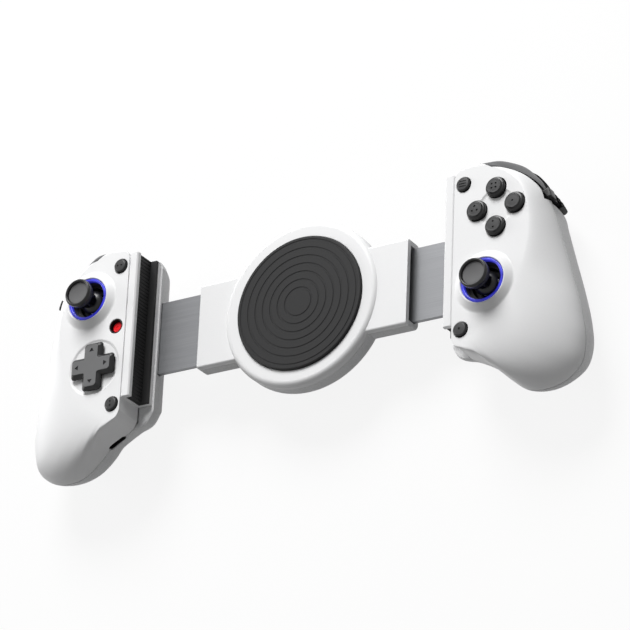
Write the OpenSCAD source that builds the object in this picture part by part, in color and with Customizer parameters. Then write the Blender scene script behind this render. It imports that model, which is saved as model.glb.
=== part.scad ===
// Telescopic game controller: two hand grips on a spring-closed sliding bridge.
// Frame: +X to the right-hand grip, +Y to the shoulder buttons, +Z out of the control face.
// The origin is the middle of the rest pad on the bridge, where the handset's back lies.

/* [Handset] */
// Length of the handset between the two jaws
handset_l = 147; // [130:0.5:165]
// Thickness of the handset that the jaws take
handset_t = 7.6; // [6.5:0.1:9]

/* [Sliding bridge] */
// Travel of each grip towards the bridge
travel_in = 18; // [10:1:18]
// Travel of each grip away from the bridge
travel_out = 15; // [8:1:18]
// Radius of the round hub
hub_r = 36; // [35:0.5:40]
// Half length of the hub's two sleeves
sleeve_half = 49; // [47:0.5:50]
// Width of a slide plate
plate_w = 32; // [30:0.5:34]
// Thickness of a slide plate
plate_t = 2; // [1.6:0.1:2.2]
// Module of the rack and pinion
tooth_module = 1.2; // [1.1:0.05:1.25]
// Number of pinion teeth
pinion_teeth = 12; // [12:2:12]
// Thickness of the rest pad
pad_t = 1.7; // [1.4:0.1:2.2]

/* [Grips] */
// Height of the control face above the handset's front
face_rise = 3; // [2.5:0.1:4]
// Depth of the grip's back below the handset's back
grip_depth = 23.4; // [22:0.2:27]
// Wall of the moulded shells
wall = 2; // [1.8:0.1:2.2]
// Seam between front and rear shell
seam = 0.15; // [0.1:0.05:0.25]
// Length of the jaw along the handset's end
jaw_len = 64.6; // [58:0.2:66]
// Depth of the jaw from its mouth to the grip
jaw_depth = 3.5; // [3.2:0.1:4.2]
// Overlap of the jaw's lip over the handset
lip_over = 0.7; // [0.4:0.1:1.2]

/* [Controls] */
// Radius of an action button
action_r = 4.1; // [3.8:0.05:4.3]
// Pitch radius of the four action buttons
action_pitch = 8.3; // [8:0.1:8.8]
// Radius of a small button
small_r = 2.95; // [2.6:0.05:3]
// Travel of a button
press = 1.2; // [0.8:0.1:1.3]
// Outer radius of the stick's light ring
ring_r = 9.1; // [8.9:0.05:9.4]
// Radius of the stick's cap
cap_r = 6.25; // [5.8:0.05:6.6]
// Height of the stick's cap above the control face
cap_rise = 9.6; // [9:0.1:11]
// Length of the direction pad's cross
cross_l = 19.5; // [18:0.1:19.8]
// Width of an arm of the cross
cross_w = 6.6; // [5.4:0.1:7]
// Pitch of the ribs on the triggers
rib_pitch = 1.6; // [1.2:0.1:2]

/* [Clearances] */
// Gap around pieces that slide or tilt
run_gap = 0.3; // [0.25:0.01:0.32]
// Gap of a pin in its bore
pin_gap = 0.1; // [0.06:0.01:0.12]
// Gap at faces that rest on each other
seat_gap = 0.1; // [0.05:0.01:0.12]

/* [Hidden] */
$fn = 48;

// Heights that the pieces share
face_z = handset_t + face_rise;
face_in = face_z - wall;
back_z = -grip_depth;
board_top = face_z - 10;
board_t = 1.6;
pivot_z = face_z - 6.1;
grip_x = handset_l / 2 + jaw_depth;
shelf_z = -3.3;

// Slide plates: the left one runs in front of the right one
channel_top = -4.6;
plate_gap = run_gap;
left_plate_z = channel_top - plate_gap - plate_t;
right_plate_z = left_plate_z - plate_gap - plate_t;
channel_bottom = right_plate_z - plate_gap;
cover_split = channel_top + 0.1;

// Control places on a grip, from the grip's inner wall: the upper and the lower control
upper_at = [18.5, 16];
lower_at = [14, -15];
top_button_at = [4, 28.9];
mode_button_at = [4.5, 1.7];
bottom_button_at = [4, -33.2];

// Grip stations from the inner top corner, over the shoulder and round the handle.
// Each holds the rim x, y, z; the face x, y; the rear rim x, y; the back x, y;
// and how full the front and the rear rounding are (2 is an ellipse, more is squarer).
STATIONS = [
  [0, 32.2, -3, 0, 32.2, -7.2, 31.5, 14, 18, 5, 2],
  [1.3, 35, -3, 1.2, 34.4, -4.6, 35.6, 14.2, 21.4, 5, 2],
  [5, 36.8, -3, 4.6, 35.3, 5, 36.8, 15, 24, 4, 2.2],
  [13.5, 38.4, -1.2, 12.8, 35.2, 13.5, 38.4, 17, 26, 2.6, 2.4],
  [24, 35.4, 0.5, 21.2, 31.3, 24, 35.4, 21, 24.5, 2, 2.4],
  [31.4, 30, 1, 27.4, 25.8, 31.4, 30, 24.5, 20.5, 2, 2.4],
  [36.2, 23.2, 1, 30.6, 19.5, 36.2, 23.2, 26.5, 13.5, 2, 2.4],
  [39.4, 12, 0.8, 32.4, 10, 39.4, 12, 28, 4, 2, 2.4],
  [42.6, -0.8, -0.4, 32.4, 0, 42.6, -0.8, 30.5, -6, 2, 2.4],
  [46.4, -16, -1.7, 30, -10, 46.4, -16, 33, -15, 2, 2.4],
  [49.2, -29, -2.9, 26, -20, 49.2, -29, 35, -24, 2, 2.3],
  [50.4, -41, -3.7, 21.5, -27.5, 50.4, -41, 35.5, -31, 2, 2.1],
  [48.4, -50.2, -4.2, 17.5, -32, 48.4, -50.2, 34, -36, 2, 1.8],
  [42, -55.8, -4.4, 14, -34.6, 42, -55.8, 31, -38.5, 2.2, 1.6],
  [33.5, -57.8, -4.4, 11, -36.2, 33.5, -57.8, 28, -38.8, 2.6, 1.6],
  [25.5, -56.4, -4.4, 8.4, -37.3, 25.5, -56.4, 25, -36.5, 3.2, 1.6],
  [18.3, -51, -4.4, 6, -38.1, 18.3, -51, 22.5, -31, 4, 1.7],
  [12.8, -45.8, -4, 4.2, -38.6, 12.8, -45.8, 19.5, -22, 5, 1.8],
  [6, -42, -3.3, 2.4, -38.9, 3, -40.3, 16.5, -14, 6, 2],
  [1.6, -39.4, -3, 1, -38.5, -4, -37.9, 15, -9, 6, 2],
  [0, -36.6, -3, 0, -36.2, -7.2, -33, 14, -6, 6, 2],
];
station_steps = 2;
last = len(STATIONS) - 1;
inner_wall = 0.8;
OUTER_ANGLES = [90, 74, 58, 42, 26, 12, 0];
INNER_ANGLES = [0, 20, 45, 68, 90];

// Smooth curve through the stations: cubic pieces with knots by the root of the rim's length
function rim_step(i) = sqrt(norm([for (k = [0:1]) STATIONS[i + 1][k] - STATIONS[i][k]]));
KNOTS = [for (i = 0, t = 0; i <= last; t = t + (i < last ? rim_step(i) : 0), i = i + 1) t];
function slope(i) = (STATIONS[i + 1] - STATIONS[i]) / (KNOTS[i + 1] - KNOTS[i]);
function mid_slope(i) =
  (slope(i - 1) * (KNOTS[i + 1] - KNOTS[i]) + slope(i) * (KNOTS[i] - KNOTS[i - 1]))
  / (KNOTS[i + 1] - KNOTS[i - 1]);
function tangent(i) = i == 0 ? slope(0) : i == last ? slope(last - 1) : mid_slope(i);
function station(u) = let (
    i = min(floor(u), last - 1),
    f = u - i,
    d = KNOTS[i + 1] - KNOTS[i]
  )
  STATIONS[i] * (1 + 2 * f) * pow(1 - f, 2) + tangent(i) * d * f * pow(1 - f, 2)
  + STATIONS[i + 1] * f * f * (3 - 2 * f) + tangent(i + 1) * d * f * f * (f - 1);

RING = [for (k = [0:last * station_steps]) station(k / station_steps)];
ring_n = len(RING);
function out_normal(along) = [-along.y, along.x] / norm(along);
function ring_normals(a, b) = [for (i = [0:ring_n - 1]) let (
    next = RING[(i + 1) % ring_n],
    prev = RING[(i + ring_n - 1) % ring_n]
  ) out_normal([next[a] - prev[a], next[b] - prev[b]])];
RIM_OUT = ring_normals(0, 1);
REAR_OUT = ring_normals(5, 6);
// Inset of the front shell's inside: thin along the straight inner wall
FRONT_INSET = [for (i = [0:ring_n - 1])
  i == 0 ? [inner_wall, -wall / 2] : i == ring_n - 1 ? [inner_wall, wall / 2] : -wall * RIM_OUT[i]];

// Point of the front shell at ring place i, angle a from rim (0) to face (90), inset 0 or 1
function front_point(i, a, inset) = let (
    v = RING[i],
    s = 1 - pow(cos(a), 2 / v[9]),
    h = pow(sin(a), 2 / v[9])
  ) [
    v[0] + (v[3] - v[0]) * s + inset * FRONT_INSET[i].x,
    v[1] + (v[4] - v[1]) * s + inset * FRONT_INSET[i].y,
    v[2] + (face_z - v[2]) * h - inset * wall * sin(a)
  ];
// Point of the rear shell at ring place i, angle a from rim (0) to back (90), inset 0 or 1
function rear_point(i, a, inset) = let (
    v = RING[i],
    s = 1 - pow(cos(a), 2 / v[10]),
    h = pow(sin(a), 2 / v[10]),
    t = inset * wall
  ) [
    v[5] + (v[7] - v[5]) * s - t * cos(a) * REAR_OUT[i].x,
    v[6] + (v[8] - v[6]) * s - t * cos(a) * REAR_OUT[i].y,
    v[2] - seam - (v[2] - seam - back_z) * h + t * sin(a)
  ];

// Point beside the rim curve: out is the distance outside it
function rim_point(u, out) = let (
    v = station(u),
    ahead = station(min(u + 0.05, last)),
    behind = station(max(u - 0.05, 0)),
    n = out_normal([ahead[0] - behind[0], ahead[1] - behind[1]])
  ) [v[0] + out * n.x, v[1] + out * n.y];

// Shoulder pieces by their place along the stations
bumper_start = 2.6;
bumper_end = 6.14;
block_end = 6.46;
block_start = bumper_end + 0.12;
trigger_start = 2.75;
trigger_end = 6.78;
bumper_top = face_z - 5.6;
bumper_back = -5.7;
trigger_front = bumper_back - 2 * run_gap;
trigger_back = back_z + 6.8;
bumper_wall = 2.6;
trigger_wall = 2.2;
trigger_pocket = 5.8;
trigger_room = 1.8;
trigger_lean = 0.44;
bumper_pocket = 6.6;
end_gap = 0.06;
// Edge of the front shell over the shoulder: widest near the inner end, back at the rim past the end block
function shoulder_edge(u) = -max(0.1, min(
    edge_least + 3.9 * (u - bumper_start),
    edge_least + 1.04 * (bumper_end - u),
    edge_least - 4 * (u - bumper_end)
  ));
edge_least = 1.2;
bumper_bulge = 0.6;
// Room for the press beside the shell's edge: grows with the distance from the pivot
function press_gap(u) = 0.2 + 0.5 * max(0, (u - bumper_start) / (bumper_end - bumper_start));

// Point of the front shell's outside at place u and angle a, moved out by a distance
function front_at(u, a, out) = let (
    v = station(u),
    s = 1 - pow(cos(a), 2 / v[9]),
    n = rim_point(u, 1) - rim_point(u, 0)
  ) [
    v[0] + (v[3] - v[0]) * s + out * n.x,
    v[1] + (v[4] - v[1]) * s + out * n.y,
    v[2] + (face_z - v[2]) * pow(sin(a), 2 / v[9])
  ];
// Angle of the front shell's outside at a distance inside the rim
function front_angle(u, in) = let (
    v = station(u),
    reach = norm([v[3] - v[0], v[4] - v[1]])
  ) acos(pow(max(0, 1 - in / reach), v[9] / 2));
// Point of the rear shell's outside at place u and height z, moved out by a distance
function rear_at(u, z, out) = let (
    v = station(u),
    h = (v[2] - seam - z) / (v[2] - seam - back_z),
    s = 1 - pow(1 - pow(h, v[10]), 1 / v[10]),
    n = rim_point(u, 1) - rim_point(u, 0)
  ) [v[5] + (v[7] - v[5]) * s + out * n.x, v[6] + (v[8] - v[6]) * s + out * n.y, z];

// Section of the shoulder at place u: flush with the shell above, bulging at the rim
function shoulder_section(u, gap) = let (
    edge = min(-0.1, shoulder_edge(u) + gap),
    top = front_angle(u, -edge)
  ) concat(
    [for (k = [0:4]) let (a = top * (1 - k / 4)) front_at(u, a, bumper_bulge * sin(k * 22.5)) - [0, 0, 0.1]],
    [for (q = [
        [bumper_bulge + 0.1, -2], [0.3, bumper_back], [-bumper_wall, bumper_back],
        [-bumper_wall, bumper_top - 2.6], [edge - 0.15, bumper_top - 2]
      ]) let (p = rim_point(u, q.x)) [p.x, p.y, q.y]]
  );

// Trigger pin along the chord of the shoulder
pin_r = 1;
pin_z = trigger_front - 2.5;
pin_inset = 3.2;
pin_from = rim_point(trigger_start, -pin_inset);
pin_to = rim_point(trigger_end, -pin_inset);
pin_span = norm(pin_to - pin_from);
pin_turn = atan2(pin_to.y - pin_from.y, pin_to.x - pin_from.x);
ear_r = 2.4;
ear_t = 2.2;
lug_t = 2.4;
LUGS = [1.8, pin_span - 1.8 - lug_t];
RIBS = [LUGS[0] + lug_t + run_gap, LUGS[1] - run_gap - ear_t];
rib_reach = 6;

// Screws that hold the shells: place, top of the front post, floor of the rear tube
post_r = 2.4;
screw_r = 1;
head_r = 1.9;
head_t = 1.4;
SHELL_SCREWS = [
  [5, 22.5, face_z - wall / 2, rear_point(0, 64, 0.5).z],
  [43.6, -37.8, front_point(11 * station_steps, 33, 0.5).z, rear_point(11 * station_steps, 54, 0.5).z],
  [21, -41, face_z - 1.4, rear_point(16 * station_steps, 54, 0.5).z]
];
head_lift = 3;
PLATE_SCREWS = [[3, 10], [3, -10]];
plate_boss_z = back_z + 3.6;
HUB_SCREWS = [for (sx = [-1, 1], sy = [-1, 1]) [11 * sx, (hub_r - 7.4) * sy]];
hub_wall = 2.4;

// Rack and pinion
pitch_r = tooth_module * pinion_teeth / 2;
pressure = 25;
tooth_pitch = PI * tooth_module;
backlash = 0.24;
tip = 0.9 * tooth_module;
root = 1.15 * tooth_module;
post_pinion_r = 2.4;
slot_low = pitch_r + tip + 2 * run_gap;
slot_from = -travel_in - pitch_r - 3;
slot_to = travel_out + pitch_r + 3;
plate_tip = slot_to + 3.5;

// Return springs
spring_y = plate_w / 2 + 5.6;
spring_r = 1.95;
spring_wire = 0.3;
spring_post = 2;
spring_reach = hub_r - hub_wall - run_gap;
spring_l = sqrt(pow(spring_reach, 2) - pow(spring_y + spring_r + spring_wire, 2)) - spring_post;
spring_curls = 10;
tab_w = 3.5;

// Stick
gimbal_r = 4.2;
gimbal_in = 2.9;
gimbal_h = 2;
shaft_r = 1.5;
cross_pin_r = 0.65;
trunnion_r = 0.8;
dome_r = 7;
dome_t = 0.7;
dome_edge = 48;
click = 0.4;
well_z = pivot_z + 2.9;
well_t = 0.8;
well_in = 6.7;
ring_in = 8;
collar_rise = 2.1;
collar_r = 12.8;

// Direction pad
ball_r = 2.5;
ball_z = pivot_z + 0.7;
flange_r = 10.6;
flange_t = 1;
flange_z = face_in - 2.1;
dish_r = 12.9;
dish_depth = 0.7;
cross_rise = 2.6;
cross_gap = 2 * run_gap;

module on_side(side) {
  if (side < 0) mirror([1, 0, 0]) translate([grip_x, 0, 0]) children();
  else translate([grip_x, 0, 0]) children();
}

// Closed skin through rings of equal length, with flat first and last caps
module skin(rings, turn) {
  n = len(rings[0]);
  m = len(rings);
  caps = [
    [for (i = [0:n - 1]) turn ? n - 1 - i : i],
    [for (i = [0:n - 1]) (m - 1) * n + (turn ? i : n - 1 - i)]
  ];
  walls = [for (r = [0:m - 2], i = [0:n - 1], k = [0:1]) let (
      a = r * n + i,
      b = r * n + (i + 1) % n,
      f = k == 0 ? [a, a + n, b] : [b, a + n, b + n]
    ) turn ? [f[2], f[1], f[0]] : f];
  polyhedron(points = [for (r = rings, p = r) p], faces = concat(caps, walls), convexity = 8);
}

// Band beside the rim curve between two stations and two offsets, as a flat outline
module rim_band(from, to, low, high, steps = 14) {
  us = [for (k = [0:steps]) from + (to - from) * k / steps];
  polygon(concat(
    [for (u = us) rim_point(u, is_undef(low) ? shoulder_edge(u) : low)],
    [for (k = [steps:-1:0]) rim_point(us[k], high)]
  ));
}

// Coil along +X from x = 0: one round wire, whose least gap between curls is measured and printed
module coil(length, mean_r, wire_r, curls) {
  rings = curls * 8;
  sides = 6;
  function turn_at(k) = 360 * k / 8;
  function along(k) = wire_r + (length - 2 * wire_r) * k / rings;
  pitch_angle = atan2((length - 2 * wire_r) / curls, 2 * PI * mean_r);
  centre = [for (k = [0:rings]) [along(k), mean_r * cos(turn_at(k)), mean_r * sin(turn_at(k))]];
  apart = min([for (k = [0:rings], j = [k + 5:1:rings]) norm(centre[k] - centre[j])]);
  echo(least_gap = apart - 2 * wire_r);
  skin([for (k = [0:rings]) [for (j = [0:sides - 1]) let (
      w = 360 * j / sides,
      radial = mean_r + wire_r * cos(w),
      side = wire_r * sin(w)
    ) [
      along(k) + side * cos(pitch_angle),
      radial * cos(turn_at(k)) + side * sin(pitch_angle) * sin(turn_at(k)),
      radial * sin(turn_at(k)) - side * sin(pitch_angle) * cos(turn_at(k))
    ]]], true);
}

module screw(shank_l) {
  difference() {
    union() {
      cylinder(r = head_r, h = head_t);
      cylinder(r = screw_r, h = head_t + shank_l);
    }
    for (a = [0, 90]) rotate(a) translate([-1.1, -0.2, -1]) cube([2.2, 0.4, 1.6]);
  }
}

// Bridge

// Rounded bar across the hub: half width in Y, from low to high
module sleeve(half_w, low, high, r_low, r_high) {
  rotate([90, 0, 90]) linear_extrude(2 * sleeve_half, center = true) union() {
    translate([-half_w, low + r_low]) square([2 * half_w, high - low - r_low - r_high]);
    if (r_low > 0) {
      translate([-half_w + r_low, low]) square([2 * (half_w - r_low), r_low + 1]);
      for (s = [-1, 1]) translate([s * (half_w - r_low), low + r_low]) circle(r = r_low);
    }
    if (r_high > 0) {
      translate([-half_w + r_high, high - r_high - 1]) square([2 * (half_w - r_high), r_high + 1]);
      for (s = [-1, 1]) translate([s * (half_w - r_high), high - r_high]) circle(r = r_high);
    }
  }
}

sleeve_w = plate_w / 2 + run_gap + hub_wall;
sleeve_low = channel_bottom - hub_wall;
sleeve_high = channel_top + hub_wall;
hub_low = sleeve_low - 1.4;
hub_high = -pad_t + 0.5;
pad_r = hub_r - 7;

module hub_front_cover() {
  edge = 2.6;
  color("whitesmoke") difference() {
    union() {
      rotate_extrude($fn = 120) polygon(concat(
        [[0, cover_split], [hub_r, cover_split]],
        [for (a = [0:15:90]) [hub_r - edge * (1 - cos(a)), hub_high - edge * (1 - sin(a))]],
        [[0, hub_high]]
      ));
      sleeve(sleeve_w, cover_split, sleeve_high, 0, 1.1);
    }
    translate([0, 0, -pad_t]) cylinder(r = pad_r + seat_gap, h = pad_t, $fn = 120);
    for (p = HUB_SCREWS) translate([p.x, p.y, cover_split - 1]) cylinder(r = screw_r + pin_gap / 2, h = 2.6);
  }
}

module hub_rear_cover() {
  top = cover_split - seam;
  edge = 5;
  cavity_r = hub_r - hub_wall;
  color("whitesmoke") difference() {
    union() {
      difference() {
        union() {
          rotate_extrude($fn = 120) polygon(concat(
            [[0, hub_low]],
            [for (a = [90:-15:0]) [hub_r - edge * (1 - cos(a)), hub_low + edge * (1 - sin(a))]],
            [[hub_r, top], [0, top]]
          ));
          sleeve(sleeve_w, sleeve_low, top, 3, 0);
        }
        translate([0, 0, channel_bottom]) cylinder(r = cavity_r, h = 20, $fn = 120);
        translate([-100, -plate_w / 2 - run_gap, channel_bottom]) cube([200, plate_w + 2 * run_gap, 20]);
      }
      translate([0, 0, channel_bottom - 1]) cylinder(r = post_pinion_r, h = 1 + 2 * plate_t + plate_gap);
      for (p = HUB_SCREWS) translate([p.x, p.y, channel_bottom - 1])
        cylinder(r = post_r + 0.3, h = top - channel_bottom + 1);
      for (s = [-1, 1]) rotate(s < 0 ? 180 : 0)
        translate([-spring_l - 2.4, spring_y - 2.4, channel_bottom - 1])
          cube([2, 5, top - channel_bottom + 1 - seat_gap]);
    }
    for (p = HUB_SCREWS) {
      translate([p.x, p.y, hub_low - 1]) cylinder(r = screw_r + pin_gap / 2, h = 20);
      translate([p.x, p.y, hub_low - 1]) cylinder(r = head_r + seat_gap, h = 1 + head_t + 0.4);
    }
  }
}

module rest_pad() {
  color([0.16, 0.16, 0.17]) translate([0, 0, -pad_t + seat_gap]) difference() {
    cylinder(r = pad_r, h = pad_t - seat_gap, $fn = 120);
    rotate_extrude($fn = 120) translate([pad_r - 0.5, pad_t - seat_gap]) rotate(45) square(0.8);
  }
}

module hub_screws() {
  color("dimgray") for (p = HUB_SCREWS) translate([p.x, p.y, hub_low + 0.4])
    screw(cover_split - hub_low + 0.6 - head_t);
}

// Half angle of a pinion tooth at a radius, by the involute of the base circle
function involute(a) = tan(a) - a * PI / 180;
function tooth_half(r) = let (
    base_r = pitch_r * cos(pressure),
    a = acos(min(1, base_r / max(r, base_r)))
  ) (tooth_pitch / 4 - backlash / 2) / pitch_r * 180 / PI + (involute(pressure) - involute(a)) * 180 / PI;

module sync_pinion() {
  base_r = pitch_r * cos(pressure);
  radii = concat([pitch_r - root], [for (k = [0:4]) base_r + (pitch_r + tip - base_r) * k / 4]);
  flank = [for (r = radii) [r, tooth_half(r)]];
  turns = [for (k = [0:pinion_teeth - 1]) 90 + 360 * k / pinion_teeth];
  outline = [for (t = turns, k = [0:2 * len(flank) - 1]) let (
      f = k < len(flank) ? flank[k] : flank[2 * len(flank) - 1 - k],
      a = t + (k < len(flank) ? -f[1] : f[1])
    ) [f[0] * cos(a), f[0] * sin(a)]];
  color("ivory") translate([0, 0, right_plate_z]) difference() {
    linear_extrude(2 * plate_t + plate_gap) polygon(outline);
    translate([0, 0, -1]) cylinder(r = post_pinion_r + pin_gap, h = 20);
  }
}

// Slot of a slide plate: plain below, with the rack's teeth along its upper edge
module rack_slot() {
  rack_root = pitch_r + root;
  rack_tip = pitch_r - tip;
  half = tooth_pitch / 4 - backlash / 2;
  count = floor((min(-slot_from, slot_to) - 2) / tooth_pitch);
  extra = floor((max(-slot_from, slot_to) - 2) / tooth_pitch);
  low = -slot_from > slot_to ? -extra : -count;
  high = -slot_from > slot_to ? count : extra;
  function flank(y) = half + (y - pitch_r) * tan(pressure);
  difference() {
    translate([slot_from, -slot_low]) square([slot_to - slot_from, slot_low + rack_root]);
    for (k = [low - 1:high]) translate([(k + 0.5) * tooth_pitch, 0]) polygon([
      [-flank(rack_tip), rack_tip], [flank(rack_tip), rack_tip],
      [flank(rack_root + 1), rack_root + 1], [-flank(rack_root + 1), rack_root + 1]
    ]);
  }
}

// The left plate as drawn; the right plate is the same, turned half round
module slide_plate(z) {
  grip_end = grip_x + 6.5;
  translate([0, 0, z]) difference() {
    linear_extrude(plate_t) difference() {
      union() {
        translate([-grip_end, -plate_w / 2]) square([grip_end + plate_tip, plate_w]);
        translate([0, 0]) square([tab_w, spring_y + 2.4]);
      }
      rack_slot();
    }
    for (p = PLATE_SCREWS) translate([-grip_x - p.x, p.y, -1])
      cylinder(r = screw_r + run_gap, h = plate_t + 2);
  }
}
module left_slide_plate() { color("slategray") slide_plate(left_plate_z); }
module right_slide_plate() { color("slategray") rotate(180) slide_plate(right_plate_z); }

module return_spring() {
  color("silver") translate([-spring_l - run_gap, spring_y, (left_plate_z + right_plate_z + plate_t) / 2])
    coil(spring_l, spring_r, spring_wire, spring_curls);
}
module left_return_spring() { return_spring(); }
module right_return_spring() { rotate(180) return_spring(); }

function plate_z(side) = side < 0 ? left_plate_z : right_plate_z;
module plate_screws(side) {
  color("dimgray") on_side(side) for (p = PLATE_SCREWS)
    translate([p.x, p.y, plate_z(side) + plate_t + head_t + seat_gap]) mirror([0, 0, 1]) screw(plate_t + 5);
}
module left_plate_screws() { plate_screws(-1); }
module right_plate_screws() { plate_screws(1); }

// Grip shells

module front_cup() {
  skin(concat(
    [for (a = OUTER_ANGLES) [for (i = [0:ring_n - 1]) front_point(i, a, 0)]],
    [for (a = INNER_ANGLES) [for (i = [0:ring_n - 1]) front_point(i, a, 1)]]
  ), false);
}

module rear_cup() {
  skin(concat(
    [for (a = OUTER_ANGLES) [for (i = [0:ring_n - 1]) rear_point(i, a, 0)]],
    [for (a = INNER_ANGLES) [for (i = [0:ring_n - 1]) rear_point(i, a, 1)]]
  ), true);
}

module port_place() {
  mouth = rim_point(port_u, 0);
  tail = rim_point(port_u, -1);
  translate([mouth.x, mouth.y, station(port_u)[2]])
    rotate(atan2(mouth.y - tail.y, mouth.x - tail.x)) rotate([90, 0, 90]) children();
}
port_u = 17.45;
port_w = 8.6;
port_h = 2.6;
port_l = 7;
module port_hole() {
  port_place() translate([0, 0, -4]) linear_extrude(8) stadium(port_w + 3 * seat_gap, port_h + 3 * seat_gap);
}
module stadium(w, h) {
  square([w - h, h], center = true);
  for (s = [-1, 1]) translate([s * (w - h) / 2, 0]) circle(d = h);
}

peg_r = 1.4;
PEGS = [[17, 4], [-17, 4]];
bumper_pivot = rim_point(bumper_start + 0.35, -4.2);
bumper_pivot_r = 1.1;
BOARD_POSTS = [[28, 4.5], [21, -29]];

module stick_collar() {
  cylinder(r1 = collar_r, r2 = ring_r + 0.6, h = collar_rise);
}

module front_shell(side) {
  stick_at = side < 0 ? upper_at : lower_at;
  color("white") on_side(side) union() {
    bumper_post();
    difference() {
      shell_with_posts(stick_at);
      shell_cuts(side, stick_at);
    }
  }
}
module bumper_post() {
  translate([bumper_pivot.x, bumper_pivot.y, bumper_back + 1])
    cylinder(r = bumper_pivot_r, h = face_in + 0.5 - bumper_back - 1);
}
module shell_with_posts(stick_at) {
  front_cup();
  translate([stick_at.x, stick_at.y, face_z - 0.01]) stick_collar();
  for (s = SHELL_SCREWS) translate([s.x, s.y, rim_low(s)]) cylinder(r = post_r, h = s[2] - rim_low(s));
  for (p = BOARD_POSTS) translate([p.x, p.y, board_top + seat_gap])
    cylinder(r = 1.8, h = face_in - board_top + 0.5);
}
module shell_cuts(side, stick_at) {
  translate([stick_at.x, stick_at.y, 0]) cylinder(r = ring_r + seat_gap * 2, h = 40);
  for (s = SHELL_SCREWS) translate([s.x, s.y, rim_low(s) - 1]) cylinder(r = screw_r + pin_gap / 2, h = 6);
  for (at = [top_button_at, bottom_button_at]) translate([at.x, at.y, 0]) small_hole();
  for (p = PEGS) translate([-1, p.x, p.y]) rotate([0, 90, 0]) cylinder(r = peg_r + seat_gap, h = 4);
  translate([0, 0, -20]) linear_extrude(60) rim_band(bumper_start - end_gap, block_end + end_gap, undef, 12);
  translate([0, 0, -20]) linear_extrude(20 + bumper_top + run_gap)
    rim_band(bumper_start - end_gap, block_end + end_gap, -bumper_pocket, 12);
  if (side < 0) {
    translate([mode_button_at.x, mode_button_at.y, 0]) small_hole();
    translate([lower_at.x, lower_at.y, face_z - dish_depth])
      cylinder(r1 = dish_r - 0.5, r2 = dish_r, h = dish_depth + 0.01);
    translate([lower_at.x, lower_at.y, face_in - 5]) linear_extrude(20) cross(cross_gap);
    port_hole();
  } else {
    translate([upper_at.x, upper_at.y, face_z - 0.5]) cylinder(r1 = 7.4, r2 = 8, h = 0.51);
    for (a = [0:90:270]) translate([upper_at.x, upper_at.y, 0]) rotate(a) translate([action_pitch, 0, 0])
      union() {
        cylinder(r = action_r + run_gap, h = 40);
        cylinder(r = action_r + 0.8 + run_gap, h = face_in);
      }
  }
}
// Lower end of the front screw posts: just above the rear tubes
function rim_low(s) = s.y > 0 ? -3 : -4;
module small_hole() { cylinder(r = small_r + run_gap, h = 40); }
module cross(grow) {
  for (a = [0, 90]) rotate(a) square([cross_l + 2 * grow, cross_w + 2 * grow], center = true);
}
module left_front_shell() { front_shell(-1); }
module right_front_shell() { front_shell(1); }

module rear_shell(side) {
  $fn = 24;
  shelf = [for (i = [0:ring_n - 1]) if (RING[i][5] < 2.4) let (p = rear_point(i, 12, 0.5)) [p.x, p.y]];
  color("white") on_side(side) difference() {
    union() {
      rear_cup();
      translate([0, 0, shelf_z - 1.2]) linear_extrude(1.2) polygon(shelf);
      for (s = SHELL_SCREWS) translate([s.x, s.y, s[3]]) cylinder(r = post_r, h = rim_low(s) - seam - s[3]);
      for (p = PLATE_SCREWS) translate([p.x, p.y, plate_boss_z])
        cylinder(r = post_r, h = plate_z(side) - seat_gap - plate_boss_z);
    }
    for (s = SHELL_SCREWS) {
      translate([s.x, s.y, back_z - 1]) cylinder(r = screw_r + pin_gap / 2, h = 40);
      translate([s.x, s.y, back_z - 1]) cylinder(r = head_r + seat_gap, h = s[3] + head_lift - back_z + 1);
    }
    for (p = PLATE_SCREWS) translate([p.x, p.y, plate_z(side) - 6])
      cylinder(r = screw_r + pin_gap / 2, h = 10);
    translate([-20, -plate_w / 2 - run_gap, plate_z(side) - run_gap])
      cube([17, plate_w + 2 * run_gap, plate_t + 2 * run_gap]);
    translate([0, 0, trigger_back - trigger_room]) linear_extrude(60)
      rim_band(bumper_start - end_gap, block_end + end_gap, -trigger_pocket, 12);
    translate([0, 0, trigger_back - trigger_room])
      linear_extrude(bumper_back - run_gap - trigger_back + trigger_room)
        rim_band(block_end - 0.1, trigger_end + 2 * end_gap, -trigger_pocket, 12, 4);
    if (side < 0)
      port_hole();
  }
}
module left_rear_shell() { rear_shell(-1); }
module right_rear_shell() { rear_shell(1); }

module shell_screws(side) {
  color("dimgray") on_side(side) for (s = SHELL_SCREWS)
    translate([s.x, s.y, s[3] + head_lift - head_t - seat_gap]) screw(rim_low(s) + 4 - s[3] - head_lift);
}
module left_shell_screws() { shell_screws(-1); }
module right_shell_screws() { shell_screws(1); }

// Jaws: a channel round the handset's end, with a soft liner

jaw_low = -jaw_len / 2 + 1.7;
jaw_t = 1.35;
liner_t = jaw_depth - jaw_t - 0.05;
liner_floor = 1.4;
lip_z = handset_t + 0.6;
foot_in = -6.4;
module jaw(side) {
  color("white") on_side(side) {
    translate([0, jaw_low, 0]) rotate([90, 0, 0]) mirror([0, 0, 1]) linear_extrude(jaw_len) polygon([
      [foot_in, shelf_z + 0.25], [-0.05, shelf_z + 0.25], [-0.05, face_z - 0.8], [-0.35, face_z - 0.3],
      [-0.7, face_z], [-jaw_depth - lip_over + 0.6, face_z], [-jaw_depth - lip_over, face_z - 0.6],
      [-jaw_depth - lip_over, lip_z], [-jaw_t, lip_z], [-jaw_t, -liner_floor], [foot_in, -liner_floor]
    ]);
    for (p = PEGS) translate([-0.5, p.x, p.y]) rotate([0, 90, 0]) cylinder(r = peg_r, h = 3.4);
  }
}
module left_jaw() { jaw(-1); }
module right_jaw() { jaw(1); }

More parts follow.
